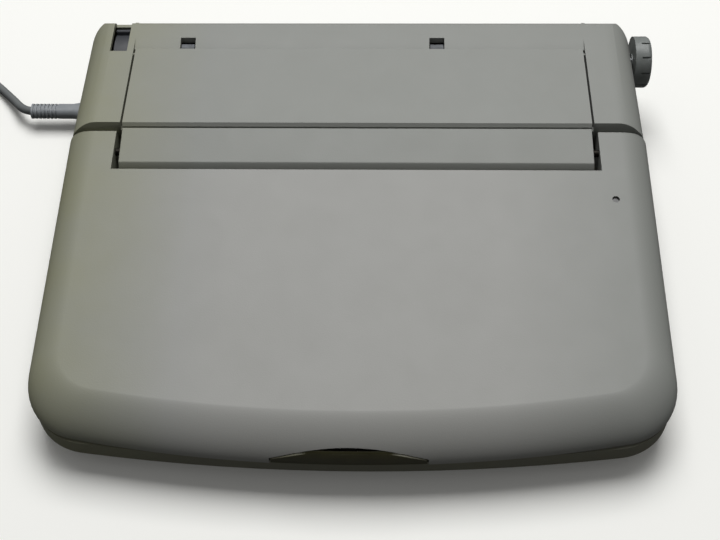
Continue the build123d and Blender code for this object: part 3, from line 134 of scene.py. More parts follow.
# A moulding: base colour clouded by a second one, a fine spark-eroded grain, and uneven gloss.
def mouldedFinish(name, look):
    material, tree, surface, place = blankMaterial(name, {"IOR": look.get("ior", 1.53)})
    cloud = addNode(tree, "ShaderNodeTexNoise", {"Scale": 1 / (look["cloudMm"] * mm), "Detail": 3.0},
                    {"Vector": place})
    share = addNode(tree, "ShaderNodeMapRange", {
        "From Min": 0.35, "From Max": 0.68, "To Min": 0.0, "To Max": look["cloudShare"]},
        {"Value": cloud.outputs["Fac"]})
    colour = addNode(tree, "ShaderNodeMix", {"data_type": "RGBA"}, {"Factor": share.outputs["Result"]})
    colour.inputs[6].default_value = toLinear(look["colour"])
    colour.inputs[7].default_value = toLinear(look["second"])
    tree.links.new(colour.outputs[2], surface.inputs["Base Color"])
    grain = addNode(tree, "ShaderNodeTexNoise", {"Scale": 1 / (look["grainMm"] * mm), "Detail": 2.0},
                    {"Vector": place})
    gloss = addNode(tree, "ShaderNodeMapRange", {
        "From Min": 0.3, "From Max": 0.7, "To Min": look["rough"][0], "To Max": look["rough"][1]},
        {"Value": cloud.outputs["Fac"]})
    tree.links.new(gloss.outputs["Result"], surface.inputs["Roughness"])
    relief = addNode(tree, "ShaderNodeBump", {
        "Strength": look["bump"], "Distance": look["grainMm"] * mm * grainDepth["moulded"]},
        {"Height": grain.outputs["Fac"]})
    tree.links.new(relief.outputs["Normal"], surface.inputs["Normal"])
    return material


# A metal: fine lines along one axis, from its drawing, grinding or rolling, over a clouded plating.
def metalFinish(name, look):
    material, tree, surface, place = blankMaterial(name, {"Metallic": 1.0})
    lines = addNode(tree, "ShaderNodeMapping", {"Scale": look["lines"]}, {"Vector": place})
    scratch = addNode(tree, "ShaderNodeTexNoise", {"Scale": 1 / (look["lineMm"] * mm), "Detail": 3.0},
                      {"Vector": lines.outputs["Vector"]})
    cloud = addNode(tree, "ShaderNodeTexNoise", {"Scale": 1 / (look["cloudMm"] * mm), "Detail": 2.0},
                    {"Vector": place})
    colour = addNode(tree, "ShaderNodeMix", {"data_type": "RGBA"}, {"Factor": cloud.outputs["Fac"]})
    colour.inputs[6].default_value = toLinear(look["colour"])
    colour.inputs[7].default_value = toLinear(look["second"])
    tree.links.new(colour.outputs[2], surface.inputs["Base Color"])
    gloss = addNode(tree, "ShaderNodeMapRange", {"To Min": look["rough"][0], "To Max": look["rough"][1]},
                    {"Value": scratch.outputs["Fac"]})
    tree.links.new(gloss.outputs["Result"], surface.inputs["Roughness"])
    relief = addNode(tree, "ShaderNodeBump", {
        "Strength": look["bump"], "Distance": grainDepth["metalMm"] * mm}, {"Height": scratch.outputs["Fac"]})
    tree.links.new(relief.outputs["Normal"], surface.inputs["Normal"])
    return material


# Textured ABS of the housing, decades old: warm grey, yellowed along the left where light reached it,
# with the faintest of stains, and darker toward both sides, which is painted shade where the light falls off.
housingLook = {
    # the edge colour is painted shade, mixed in toward both sides where the light falls off
    "colour": "#979794", "aged": "#86866a", "edge": "#80837f", "stain": "#88887f",
    "sideShadeFromMm": 70.0, "sideShadeToMm": 150.0, "sideShadeShare": 0.75,
    "agedLeftMm": -170.0, "agedClearMm": -92.0, "agedShare": 0.9, "agedFloor": 0.04,
    "cloudMm": 46.0, "stainMm": 17.0, "stainShare": 0.035, "grainMm": 0.7, "bump": 0.35,
    "rough": (0.55, 0.6),
}


def agedHousingFinish(name, look):
    material, tree, surface, place = blankMaterial(name, {"IOR": 1.53, "Specular IOR Level": 0.45})
    across = addNode(tree, "ShaderNodeSeparateXYZ", None, {"Vector": place})
    leftward = addNode(tree, "ShaderNodeMapRange", {
        "From Min": look["agedLeftMm"] * mm, "From Max": look["agedClearMm"] * mm,
        "To Min": look["agedShare"], "To Max": look["agedFloor"]}, {"Value": across.outputs["X"]})
    cloud = addNode(tree, "ShaderNodeTexNoise", {
        "Scale": 1 / (look["cloudMm"] * mm), "Detail": 4.0, "Roughness": 0.55}, {"Vector": place})
    patch = addNode(tree, "ShaderNodeMapRange", {
        "From Min": 0.3, "From Max": 0.7, "To Min": 0.7, "To Max": 1.15}, {"Value": cloud.outputs["Fac"]})
    share = addNode(tree, "ShaderNodeMath", {"operation": "MULTIPLY", "use_clamp": True})
    tree.links.new(leftward.outputs["Result"], share.inputs[0])
    tree.links.new(patch.outputs["Result"], share.inputs[1])
    yellowed = addNode(tree, "ShaderNodeMix", {"data_type": "RGBA"}, {"Factor": share.outputs["Value"]})
    outward = addNode(tree, "ShaderNodeMath", {"operation": "ABSOLUTE"})
    tree.links.new(across.outputs["X"], outward.inputs[0])
    # painted shade: the colour darkens toward both sides, standing in for the light falling off there
    sideShadeMask = addNode(tree, "ShaderNodeMapRange", {
        "From Min": look["sideShadeFromMm"] * mm, "From Max": look["sideShadeToMm"] * mm, "To Max": look["sideShadeShare"]},
        {"Value": outward.outputs["Value"]})
    sideShaded = addNode(tree, "ShaderNodeMix", {"data_type": "RGBA"}, {"Factor": sideShadeMask.outputs["Result"]})
    sideShaded.inputs[6].default_value = toLinear(look["colour"])
    sideShaded.inputs[7].default_value = toLinear(look["edge"])
    tree.links.new(sideShaded.outputs[2], yellowed.inputs[6])
    yellowed.inputs[7].default_value = toLinear(look["aged"])
    spots = addNode(tree, "ShaderNodeTexNoise", {
        "Scale": 1 / (look["stainMm"] * mm), "Detail": 6.0, "Roughness": 0.62, "Distortion": 0.4},
        {"Vector": place})
    spotShare = addNode(tree, "ShaderNodeMapRange", {
        "From Min": 0.58, "From Max": 0.78, "To Min": 0.0, "To Max": look["stainShare"]},
        {"Value": spots.outputs["Fac"]})
    stained = addNode(tree, "ShaderNodeMix", {"data_type": "RGBA"}, {"Factor": spotShare.outputs["Result"]})
    tree.links.new(yellowed.outputs[2], stained.inputs[6])
    stained.inputs[7].default_value = toLinear(look["stain"])
    tree.links.new(stained.outputs[2], surface.inputs["Base Color"])
    gloss = addNode(tree, "ShaderNodeMapRange", {
        "From Min": 0.3, "From Max": 0.7, "To Min": look["rough"][0], "To Max": look["rough"][1]},
        {"Value": spots.outputs["Fac"]})
    tree.links.new(gloss.outputs["Result"], surface.inputs["Roughness"])
    grain = addNode(tree, "ShaderNodeTexNoise", {"Scale": 1 / (look["grainMm"] * mm), "Detail": 2.0},
                    {"Vector": place})
    relief = addNode(tree, "ShaderNodeBump", {
        "Strength": look["bump"], "Distance": look["grainMm"] * mm * grainDepth["housing"]},
        {"Height": grain.outputs["Fac"]})
    tree.links.new(relief.outputs["Normal"], surface.inputs["Normal"])
    return material


# Clear acrylic: reflects sharply and lets the panel behind it through, with broad smears.
def acrylicFinish(name):
    look = {"colour": "#e4eceb", "ior": 1.49, "clear": 0.92, "smearMm": 25, "rough": (0.03, 0.12)}
    material, tree, surface, place = blankMaterial(name, {
        "Base Color": toLinear(look["colour"]), "IOR": look["ior"], "Transmission Weight": look["clear"]})
    smear = addNode(tree, "ShaderNodeTexNoise", {"Scale": 1 / (look["smearMm"] * mm), "Detail": 3.0},
                    {"Vector": place})
    gloss = addNode(tree, "ShaderNodeMapRange", {"To Min": look["rough"][0], "To Max": look["rough"][1]},
                    {"Value": smear.outputs["Fac"]})
    tree.links.new(gloss.outputs["Result"], surface.inputs["Roughness"])
    return material


# Glass-epoxy laminate under green solder resist: copper tracks show through as paler lines.
def boardFinish(name):
    look = {"colour": "#1f5239", "second": "#1b4a34", "tracks": "#4d8a63", "fieldMm": 22, "gloss": 0.35}
    material, tree, surface, place = blankMaterial(name, {
        "IOR": 1.5, "Coat Weight": look["gloss"], "Roughness": look["gloss"]})
    tracks = addNode(tree, "ShaderNodeTexBrick", {
        "Scale": 1 / (look["fieldMm"] * mm), "Mortar Size": 0.03, "Brick Width": 1.1, "Row Height": 0.17,
        "offset": 0.37, "Color1": toLinear(look["colour"]), "Color2": toLinear(look["second"]),
        "Mortar": toLinear(look["tracks"])}, {"Vector": place})
    tree.links.new(tracks.outputs["Color"], surface.inputs["Base Color"])
    return material


# Reflective liquid-crystal panel: greenish grey glass with fine cells.
def panelFinish(name):
    look = {"colour": "#6f786b", "second": "#69725f", "cellMm": 0.8, "rough": 0.22}
    material, tree, surface, place = blankMaterial(name, {"IOR": 1.5, "Roughness": look["rough"]})
    cells = addNode(tree, "ShaderNodeTexChecker", {
        "Scale": 1 / (look["cellMm"] * mm), "Color1": toLinear(look["colour"]),
        "Color2": toLinear(look["second"])}, {"Vector": place})
    tree.links.new(cells.outputs["Color"], surface.inputs["Base Color"])
    return material


finishes = {
    "housing": agedHousingFinish("texturedAbsHousing", housingLook),
    # The printer's mouldings are a shade darker and greener than the lid, with a slighter painted shade
    # toward both sides.
    "covers": agedHousingFinish("texturedAbsCovers", dict(
        housingLook, colour="#898b87", edge="#868884")),
    # The lower mouldings are darker again, which is painted shade for the shade under the lid's front, and
    # yellowed all round, with the painted side shade too.
    "base": agedHousingFinish("texturedAbsBasePaintedShade", dict(
        housingLook, colour="#76756d", edge="#6e6d64", agedFloor=0.3)),
    # Smooth dark ABS: deep olive brown, a soft wide highlight.
    "latchAbs": mouldedFinish("satinAbsDark", {
        "colour": "#3a3820", "second": "#45432a", "cloudMm": 9, "cloudShare": 0.7,
        "grainMm": 0.5, "bump": 0.2, "rough": (0.42, 0.5)}),
    # Knob in grey-blue ABS, handled until it is half smooth.
    "knobAbs": mouldedFinish("handledAbsKnob", {
        "colour": "#7a7e7c", "second": "#6b6f6c", "cloudMm": 6, "cloudShare": 0.8,
        "grainMm": 0.6, "bump": 0.25, "rough": (0.4, 0.55)}),
    # Dark blue-grey ABS of the printer's moving mouldings, with a fine matt grain.
    "innerAbs": mouldedFinish("mattAbsInner", {
        "colour": "#2a2d33", "second": "#22252a", "cloudMm": 12, "cloudShare": 0.7,
        "grainMm": 0.6, "bump": 0.3, "rough": (0.5, 0.6)}),
    # Black glass-filled moulding: dull, with paler swirls of fibre.
    "blackMoulding": mouldedFinish("glassFilledNylonBlack", {
        "colour": "#17181a", "second": "#26282b", "cloudMm": 5, "cloudShare": 0.6,
        "grainMm": 0.4, "bump": 0.4, "rough": (0.5, 0.68)}),
    # Natural acetal: milky, waxy gears and pulleys.
    "acetal": mouldedFinish("naturalAcetal", {
        "colour": "#dddacd", "second": "#cfcbbb", "cloudMm": 5, "cloudShare": 0.8,
        "grainMm": 0.5, "bump": 0.1, "rough": (0.32, 0.42), "ior": 1.48}),
    # Light key caps in textured ABS, a little shinier where fingers land.
    "lightKeys": mouldedFinish("texturedAbsKeysLight", {
        "colour": "#c9c6b8", "second": "#bcb8a6", "cloudMm": 11, "cloudShare": 0.8,
        "grainMm": 0.5, "bump": 0.3, "rough": (0.42, 0.6)}),
    # The outer rows in the same ABS, mid grey.
    "greyKeys": mouldedFinish("texturedAbsKeysGrey", {
        "colour": "#77776f", "second": "#6c6c62", "cloudMm": 11, "cloudShare": 0.8,
        "grainMm": 0.5, "bump": 0.3, "rough": (0.42, 0.6)}),
    # Ground rubber of the platen: matt, slightly glazed by paper.
    "platenRubber": mouldedFinish("groundRubberPlaten", {
        "colour": "#1d1d1e", "second": "#2c2c2c", "cloudMm": 8, "cloudShare": 0.6,
        "grainMm": 0.4, "bump": 0.5, "rough": (0.55, 0.75)}),
    # Moulded rubber of the pinch rollers: grey and dusty.
    "greyRubber": mouldedFinish("mouldedRubberGrey", {
        "colour": "#63666a", "second": "#55585a", "cloudMm": 4, "cloudShare": 0.7,
        "grainMm": 0.4, "bump": 0.4, "rough": (0.6, 0.8)}),
    # Moulded rubber feet: black, scuffed paler.
    "footRubber": mouldedFinish("mouldedRubberFoot", {
        "colour": "#222221", "second": "#353430", "cloudMm": 4, "cloudShare": 0.7,
        "grainMm": 0.5, "bump": 0.5, "rough": (0.65, 0.85)}),
    # Soft grey vinyl of the lead and its plug: smooth, with a dull wide sheen.
    "leadVinyl": mouldedFinish("softVinylLead", {
        "colour": "#6b6e6e", "second": "#5c6060", "cloudMm": 14, "cloudShare": 0.7,
        "grainMm": 0.5, "bump": 0.15, "rough": (0.42, 0.55), "ior": 1.5}),
    # The same vinyl, paler and bluer, where it is moulded thick round the connector.
    "reliefVinyl": mouldedFinish("softVinylRelief", {
        "colour": "#888c90", "second": "#7b8084", "cloudMm": 7, "cloudShare": 0.7,
        "grainMm": 0.5, "bump": 0.15, "rough": (0.42, 0.55), "ior": 1.5}),
    # Glazed ceramic of the heated printing edge.
    "headCeramic": mouldedFinish("glazedCeramicHead", {
        "colour": "#e5e2da", "second": "#c9c4b4", "cloudMm": 3, "cloudShare": 0.5,
        "grainMm": 0.3, "bump": 0.05, "rough": (0.15, 0.25), "ior": 1.6}),
    # Tinted acrylic lens over the lamp: all but black while the lamp is off.
    "lensTint": mouldedFinish("tintedAcrylicLens", {
        "colour": "#0b0908", "second": "#171210", "cloudMm": 2, "cloudShare": 0.7,
        "grainMm": 0.3, "bump": 0.02, "rough": (0.3, 0.36), "ior": 1.49}),
    # Moulded epoxy of the chips: flat black.
    "chipEpoxy": mouldedFinish("mouldedEpoxyBlack", {
        "colour": "#1a1a1b", "second": "#242425", "cloudMm": 3, "cloudShare": 0.5,
        "grainMm": 0.3, "bump": 0.3, "rough": (0.5, 0.62)}),
    # Ground steel shafts: bright, with lines round the axis.
    "groundSteel": metalFinish("groundSteelShaft", {
        "colour": "#b9babd", "second": "#a9abaf", "lines": (8.0, 1.0, 1.0), "lineMm": 1.2, "cloudMm": 20,
        "bump": 0.15, "rough": (0.18, 0.32)}),
    # Zinc-plated sheet: pale, with a soft spangle.
    "zincSheet": metalFinish("zincPlatedSheet", {
        "colour": "#b4b6b7", "second": "#9a9da0", "lines": (1.0, 1.0, 1.0), "lineMm": 2.0, "cloudMm": 9,
        "bump": 0.15, "rough": (0.3, 0.46)}),
    # Blackened spring wire and pins: dark oxide with a dull gleam along the drawn lines.
    "blackSteel": metalFinish("blackenedSteelWire", {
        "colour": "#2c2a26", "second": "#211f1d", "lines": (5.0, 1.0, 1.0), "lineMm": 0.8, "cloudMm": 4,
        "bump": 0.15, "rough": (0.42, 0.55)}),
    # Zinc-plated screws: duller than the sheet, finely turned.
    "zincScrew": metalFinish("zincPlatedScrew", {
        "colour": "#9fa0a2", "second": "#86888b", "lines": (1.0, 1.0, 1.0), "lineMm": 0.8, "cloudMm": 3,
        "bump": 0.15, "rough": (0.28, 0.42)}),
    # Turned brass: warm, with fine lines.
    "turnedBrass": metalFinish("turnedBrass", {
        "colour": "#c8a860", "second": "#b49452", "lines": (1.0, 6.0, 1.0), "lineMm": 0.8, "cloudMm": 6,
        "bump": 0.15, "rough": (0.2, 0.34)}),
    "windowAcrylic": acrylicFinish("clearAcrylicWindow"),
    "panelGlass": panelFinish("liquidCrystalPanel"),
    "boardLaminate": boardFinish("glassEpoxyLaminate"),
}
wears = {
    "housing": ("lid_shell",),
    "covers": ("rear_housing", "printer_cover", "hinge_cover"),
    "base": ("lower_case", "keyboard_deck", "drive_bezel", "lid_bezel"),
    "latchAbs": ("lid_latch",),
    "knobAbs": ("platen_knob",),
    "innerAbs": ("release_lever", "ribbon_cassette"),
    "blackMoulding": ("paper_guide", "print_carriage", "power_switch", "power_inlet", "power_transformer"),
    "acetal": ("platen_gear", "feed_idler_gear", "platen_bushings", "drive_pulley", "idler_pulley"),
    "lightKeys": ("number_row_keys", "upper_row_keys", "home_row_keys", "lower_row_keys", "space_bar"),
    "greyKeys": ("function_keys", "bottom_row_keys"),
    "platenRubber": ("platen_roller", "drive_belt"),
    "greyRubber": ("pinch_rollers",),
    "footRubber": ("rubber_feet",),
    "leadVinyl": ("power_lead", "lead_coil", "lead_tail", "mains_plug"),
    "reliefVinyl": ("cord_connector",),
    "headCeramic": ("thermal_head",),
    "lensTint": ("indicator_lens",),
    "chipEpoxy": ("board_chips",),
    "groundSteel": ("platen_shaft", "pinch_roller_shaft", "guide_rods", "backup_battery"),
    "blackSteel": ("hinge_pins", "latch_spring"),
    "zincSheet": ("printer_chassis", "hinge_brackets", "keyboard_plate", "feed_motor", "belt_motor",
                  "disk_drive"),
    "zincScrew": ("case_screws",),
    "turnedBrass": ("feed_pinion", "plug_blades"),
    "windowAcrylic": ("display_window",),
    "panelGlass": ("display_module",),
    "boardLaminate": ("main_board", "power_board"),
}
finishOf = {node: finishes[finish] for finish, wearers in wears.items() for node in wearers}
for nodeName, cadNode in cadNodes.items():
    for materialSlot in cadNode.material_slots:
        materialSlot.material = finishOf[nodeName]
print("materials made:", len(finishes))


# The mains lead, in millimetres and degrees: out of its strain relief, over the floor into a flat coil of
# two layers, and from the coil into its plug.
lead = {
    "diameter": 5.2,
    "roundSteps": 5,  # round a quarter of it
    "lineSteps": 5,  # from point to point along it
    "length": 1.8,  # metres, free of the connector
    "exit": (-200.46, 29.2, 10.0),  # x, d and z where it leaves its strain relief
    "route": ((-199.4, 29.2, 10.0), (-206.2, 29.2, 10.0), (-216.5, 15.6, 5.2), (-229.1, 1.56, 2.6)),
    "coilCentre": (-275.0, 20.0),  # x and d
    "innerRadius": 22.0,
    "pitch": 5.7,  # from turn to turn and from layer to layer
    "entry": 47.0,  # where the lead comes into the coil, in degrees
    "turnsIn": 4,  # in the lower layer
    "climb": 180.0,  # of turning, from the lower layer to the upper
    "total": 3013.0,  # of turning, in both layers
    "perTurn": 15,  # points
    "tail": 24.0,  # beyond the coil, into the plug
}


def coilPoint(angle):
    # in along the floor from the outside to the middle, then out again on top
    climbStart = lead["turnsIn"] * 360
    reverse = climbStart + lead["climb"] / 2
    radius = lead["innerRadius"] + lead["pitch"] * (abs(angle - reverse) - lead["climb"] / 2) / 360
    share = min(max((angle - climbStart) / lead["climb"], 0.0), 1.0)
    height = lead["diameter"] / 2 + lead["pitch"] * (1 - math.cos(math.pi * share)) / 2
    turn = math.radians(lead["entry"] + angle)
    x = lead["coilCentre"][0] + radius * math.cos(turn)
    return Vector((x, -lead["coilCentre"][1] + radius * math.sin(turn), height))


def makeLead():
    points = [Vector((x, -d, z)) for x, d, z in lead["route"]]
    steps = round(lead["total"] / 360 * lead["perTurn"])
    turns = [coilPoint(lead["total"] * k / steps) for k in range(steps + 1)]
    heading = turns[-1] - turns[-2]
    heading.z = 0
    tail = [turns[-1] + heading.normalized() * lead["tail"] * share for share in (0.5, 1.0)]
    points = [placeMachine @ p for p in points + turns + tail]
    curve = bpy.data.curves.new("powerLeadLine", "CURVE")
    curve.dimensions = "3D"
    curve.bevel_depth = lead["diameter"] / 2 * mm
    curve.bevel_resolution = lead["roundSteps"]
    curve.resolution_u = lead["lineSteps"]
    curve.use_fill_caps = True
    line = curve.splines.new("NURBS")
    line.points.add(len(points) - 1)
    for made, point in zip(line.points, points):
        made.co = (*point, 1.0)
    line.order_u = 3
    line.use_endpoint_u = True
    piece = bpy.data.objects.new("powerLead", curve)
    bpy.context.scene.collection.objects.link(piece)
    curve.materials.append(finishOf["power_lead"])
    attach(piece, "base_body")
    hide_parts("power_lead", "lead_coil", "lead_tail")
    x, d, z = lead["exit"]
    return piece, placeMachine @ Vector((x, -d, z))


powerLead, leadExit = makeLead()
print("lead laid")


# How edges are broken on a mesh, in millimetres and degrees.
breaking = {"segments": 2, "fromAngle": 35.0, "mergeWithin": 0.002, "flatWithin": 0.4}


def softEdges(piece, width):
    step = piece.modifiers.new("softEdges", "BEVEL")
    step.width = width * mm
    step.segments = breaking["segments"]
    step.limit_method = "ANGLE"
    step.angle_limit = math.radians(breaking["fromAngle"])
    step.harden_normals = True
    level = piece.modifiers.new("evenShading", "WEIGHTED_NORMAL")
    level.keep_sharp = True


def addPiece(name, mesh, standsFor, edge):
    data = bpy.data.meshes.new(name)
    mesh.to_mesh(data)
    mesh.free()
    data.shade_smooth()
    data.materials.append(finishOf[standsFor])
    piece = bpy.data.objects.new(name, data)
    bpy.context.scene.collection.objects.link(piece)
    softEdges(piece, edge)
    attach(piece, cadNodes[standsFor]["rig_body"])
    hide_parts(standsFor)


# A moulding whose CAD form is right gets its edges broken as the tool leaves them.
def softenedCopy(name, node, edge):
    mesh = bmesh.new()
    mesh.from_mesh(cadNodes[node].data)
    bmesh.ops.remove_doubles(mesh, verts=mesh.verts, dist=breaking["mergeWithin"] * mm)
    bmesh.ops.dissolve_limit(mesh, angle_limit=math.radians(breaking["flatWithin"]), verts=mesh.verts,
                             edges=mesh.edges)
    if node == "hinge_cover":
        leanStrip(mesh)
    addPiece(name, mesh, node, edge)


# The strip between printer cover and lid falls forward, to lie flush with the lid.
strip = {"rearD": 86.5, "frontD": 109.0, "fall": 4.2, "rootZ": 46.0, "topZ": 57.0}


def leanStrip(mesh):
    for vert in mesh.verts:
        place = placeMachine.inverted() @ vert.co
        along = min(max((-place.y - strip["rearD"]) / (strip["frontD"] - strip["rearD"]), 0.0), 1.0)
        upward = min(max((place.z - strip["rootZ"]) / (strip["topZ"] - strip["rootZ"]), 0.0), 1.0)
        vert.co.z -= strip["fall"] * along * upward * mm


def carve(mesh, cutter):
    # takes the cutter's volume out of a closed mesh
    holders = []
    for name, source in (("body", mesh), ("cutter", cutter)):
        bmesh.ops.recalc_face_normals(source, faces=source.faces)
        data = bpy.data.meshes.new(name)
        source.to_mesh(data)
        source.free()
        holder = bpy.data.objects.new(name, data)
        bpy.context.scene.collection.objects.link(holder)
        holders.append(holder)
    step = holders[0].modifiers.new("carve", "BOOLEAN")
    step.operation = "DIFFERENCE"
    step.solver = "EXACT"
    step.object = holders[1]
    bpy.context.view_layer.update()
    graph = bpy.context.evaluated_depsgraph_get()
    carved = bmesh.new()
    carved.from_mesh(bpy.data.meshes.new_from_object(holders[0].evaluated_get(graph)))
    for holder in holders:
        bpy.data.objects.remove(holder)
    return carved


def boxMesh(x, d, z, place):
    mesh = bmesh.new()
    bmesh.ops.create_cube(mesh, size=1.0)
    size = Matrix.Diagonal((x[1] - x[0], d[1] - d[0], z[1] - z[0], 1.0))
    middle = Matrix.Translation(((x[0] + x[1]) / 2, -(d[0] + d[1]) / 2, (z[0] + z[1]) / 2))
    mesh.transform(place @ middle @ size)
    return mesh


# The lid, in millimetres and degrees: a wedge with a bowed front, rolled sides and front, two hinge ears
# beside the strip's cut-out, and the mouth for its latch.
lid = {
    "hingeD": 97.0, "rimRearZ": 37.0, "rimFrontZ": 22.0, "frontD": 274.0,
    "halfWidth": 162.0, "lip": 2.2, "thickness": 16.8, "wall": 2.4,
    "sideRoll": 17.0, "sideFullness": 2.0, "frontRoll": 21.5, "frontFullness": 1.5,
    "cornerRadius": 31.0, "cornerShrink": 0.55, "bowRadius": 765.0,
    "levels": 18, "cornerSteps": 12, "bowSteps": 26,
    "rearV": -17.0,  # the blank runs past its rear end, which is turned off round the hinge line
    "earRadius": 12.0, "earFrom": -83.0, "earSweep": 110.0, "earSteps": 12,
    "cutHalf": 133.2, "cutFrontD": 110.8, "cutRearV": -40.0, "through": (-20.0, 40.0),
    "latchHalf": 38.6, "latchRise": 9.3, "latchEndRise": 4.12, "latchDepth": 9.5,
    "latchBelow": 4.0, "latchAhead": 6.0, "latchSteps": 18,
    "lampX": 139.0, "lampD": 129.4, "lampRadius": 2.0, "lampDrill": 8.0, "lampSteps": 32,
    "skinEdge": 0.35, "hollowBelow": 0.5,
}
lidTilt = math.atan2(lid["rimRearZ"] - lid["rimFrontZ"], lid["frontD"] - lid["hingeD"])
lidLength = math.hypot(lid["rimRearZ"] - lid["rimFrontZ"], lid["frontD"] - lid["hingeD"])
placeLid = (placeMachine @ Matrix.Translation((0, -lid["hingeD"], lid["rimRearZ"]))
            @ Matrix.Rotation(lidTilt, 4, "X"))


def reach(d):
    return (d - lid["hingeD"]) / math.cos(lidTilt)


def drawnIn(rise, fullness):
    # how far a roll has come in at a share of its rise: a quarter of a superellipse
    return 1 - max(1 - rise ** fullness, 0.0) ** (1 / fullness)


def lidOutline(mesh, inset, rise, height):
    # one level of the lid in plan: sides, two corners and the bowed front, swept round by spins
    sideIn = lid["sideRoll"] * drawnIn(rise, lid["sideFullness"])
    half = lid["halfWidth"] - inset - sideIn
    front = lidLength - inset - lid["frontRoll"] * drawnIn(rise, lid["frontFullness"])
    corner = lid["cornerRadius"] - inset - sideIn * lid["cornerShrink"]
    bow = lid["bowRadius"]
    cornerX = half - corner
    lean = math.asin(cornerX / (bow - corner))
    bowY = bow - front
    cornerY = bowY - (bow - corner) * math.cos(lean)
    before = set(mesh.edges)
    start = mesh.verts.new((-half, -lid["rearV"], height))
    first = mesh.verts.new((-half, cornerY, height))
    mesh.edges.new((start, first))
    last = first
    for centre, angle, steps in (((-cornerX, cornerY, height), math.pi / 2 - lean, lid["cornerSteps"]),
                                 ((0, bowY, height), 2 * lean, lid["bowSteps"]),
                                 ((cornerX, cornerY, height), math.pi / 2 - lean, lid["cornerSteps"])):
        swept = bmesh.ops.spin(mesh, geom=[last], cent=centre, axis=(0, 0, 1), angle=angle, steps=steps)
        last = next(v for v in swept["geom_last"] if isinstance(v, bmesh.types.BMVert))
    end = mesh.verts.new((half, -lid["rearV"], height))
    mesh.edges.new((last, end))
    mesh.edges.new((end, start))
    return [e for e in mesh.edges if e not in before]


def lidBlank(inset, below):
    mesh = bmesh.new()
    top = lid["thickness"] - inset
    loops = [lidOutline(mesh, inset, 0.0, -below)]
    for level in range(lid["levels"] + 1):
        rise = math.sin(math.radians(90 * level / lid["levels"]))
        loops.append(lidOutline(mesh, inset, rise, lid["lip"] + (top - lid["lip"]) * rise))
    for low, high in zip(loops, loops[1:]):
        bmesh.ops.bridge_loops(mesh, edges=low + high)
    for loop in (loops[0], loops[-1]):
        bmesh.ops.contextual_create(mesh, geom=loop)
    bmesh.ops.recalc_face_normals(mesh, faces=mesh.faces)
    mesh.transform(placeLid)
    return mesh


def turnEarEnds(mesh, inset):
    # planes laid round the hinge line take off the blank's rear end
    hinge = placeMachine @ Vector((0, -lid["hingeD"], lid["rimRearZ"] + lid["earRadius"]))
    radius = (lid["earRadius"] - inset) * mm
    for step in range(lid["earSteps"] + 1):
        turn = math.radians(lid["earFrom"] + lid["earSweep"] * step / lid["earSteps"])
        outward = Vector((0, math.cos(turn), math.sin(turn)))
        cut = bmesh.ops.bisect_plane(mesh, geom=mesh.verts[:] + mesh.edges[:] + mesh.faces[:],
                                     plane_co=hinge + outward * radius, plane_no=outward, clear_outer=True)
        edges = [e for e in cut["geom_cut"] if isinstance(e, bmesh.types.BMEdge)]
        if edges:
            bmesh.ops.edgeloop_fill(mesh, edges=edges)
    return mesh


def latchOpening():
    # the lens-shaped mouth in the lid's front, as a prism run in from ahead
    half, rise, endRise = lid["latchHalf"], lid["latchRise"], lid["latchEndRise"]
    arch = (half ** 2 + (rise - endRise) ** 2) / (2 * (rise - endRise))
    spread = math.asin(half / arch)
    back = -(lidLength - lid["latchDepth"])
    mesh = bmesh.new()
    right = mesh.verts.new((half, back, endRise))
    swept = bmesh.ops.spin(mesh, geom=[right], cent=(0, back, rise - arch), axis=(0, -1, 0),
                           angle=2 * spread, steps=lid["latchSteps"])
    left = next(v for v in swept["geom_last"] if isinstance(v, bmesh.types.BMVert))
    lowRight = mesh.verts.new((half, back, -lid["latchBelow"]))
    lowLeft = mesh.verts.new((-half, back, -lid["latchBelow"]))
    for pair in ((left, lowLeft), (lowLeft, lowRight), (lowRight, right)):
        mesh.edges.new(pair)
    bmesh.ops.contextual_create(mesh, geom=mesh.edges[:])
    grown = bmesh.ops.extrude_face_region(mesh, geom=mesh.faces[:])
    bmesh.ops.translate(mesh, vec=(0, -(lid["latchDepth"] + lid["latchAhead"]), 0),
                        verts=[v for v in grown["geom"] if isinstance(v, bmesh.types.BMVert)])
    mesh.transform(placeLid)
    return mesh


def lampHole():
    mesh = bmesh.new()
    bmesh.ops.create_cone(mesh, cap_ends=True, segments=lid["lampSteps"], radius1=lid["lampRadius"],
                          radius2=lid["lampRadius"], depth=lid["lampDrill"])
    middle = lid["thickness"] - lid["lampDrill"] / 4
    mesh.transform(placeLid @ Matrix.Translation((lid["lampX"], -reach(lid["lampD"]), middle)))
    return mesh


def makeLidSkin():
    def stripCutOut(more):
        half = lid["cutHalf"] + more
        front = reach(lid["cutFrontD"]) + more
        return boxMesh((-half, half), (lid["cutRearV"], front), lid["through"], placeLid)

    skin = turnEarEnds(lidBlank(0.0, 0.0), 0.0)
    hollow = turnEarEnds(lidBlank(lid["wall"], lid["hollowBelow"]), lid["wall"])
    hollow = carve(hollow, stripCutOut(lid["wall"]))
    for cutter in (hollow, stripCutOut(0.0), latchOpening(), lampHole()):
        skin = carve(skin, cutter)
    addPiece("lidSkin", skin, "lid_shell", lid["skinEdge"])


makeLidSkin()
print("lid made")


# broken edges in millimetres, as the moulding tools leave them
edges = {
    "rear_housing": 0.6, "printer_cover": 0.95, "hinge_cover": 0.35, "lower_case": 0.4,
    "keyboard_deck": 0.3, "lid_latch": 0.3, "platen_knob": 0.25, "release_lever": 0.3,
    "cord_connector": 0.3, "mains_plug": 0.6, "drive_bezel": 0.25, "lid_bezel": 0.2,
    "power_switch": 0.25, "ribbon_cassette": 0.4, "print_carriage": 0.3,
    "function_keys": 0.5, "number_row_keys": 0.5, "upper_row_keys": 0.5, "home_row_keys": 0.5,
    "lower_row_keys": 0.5, "bottom_row_keys": 0.5, "space_bar": 0.5, "rubber_feet": 0.3,
}
for node, width in edges.items():
    words = node.split("_")
    softenedCopy(words[0] + "".join(w.capitalize() for w in words[1:]) + "Moulding", node, width)
print("mouldings softened:", len(edges))


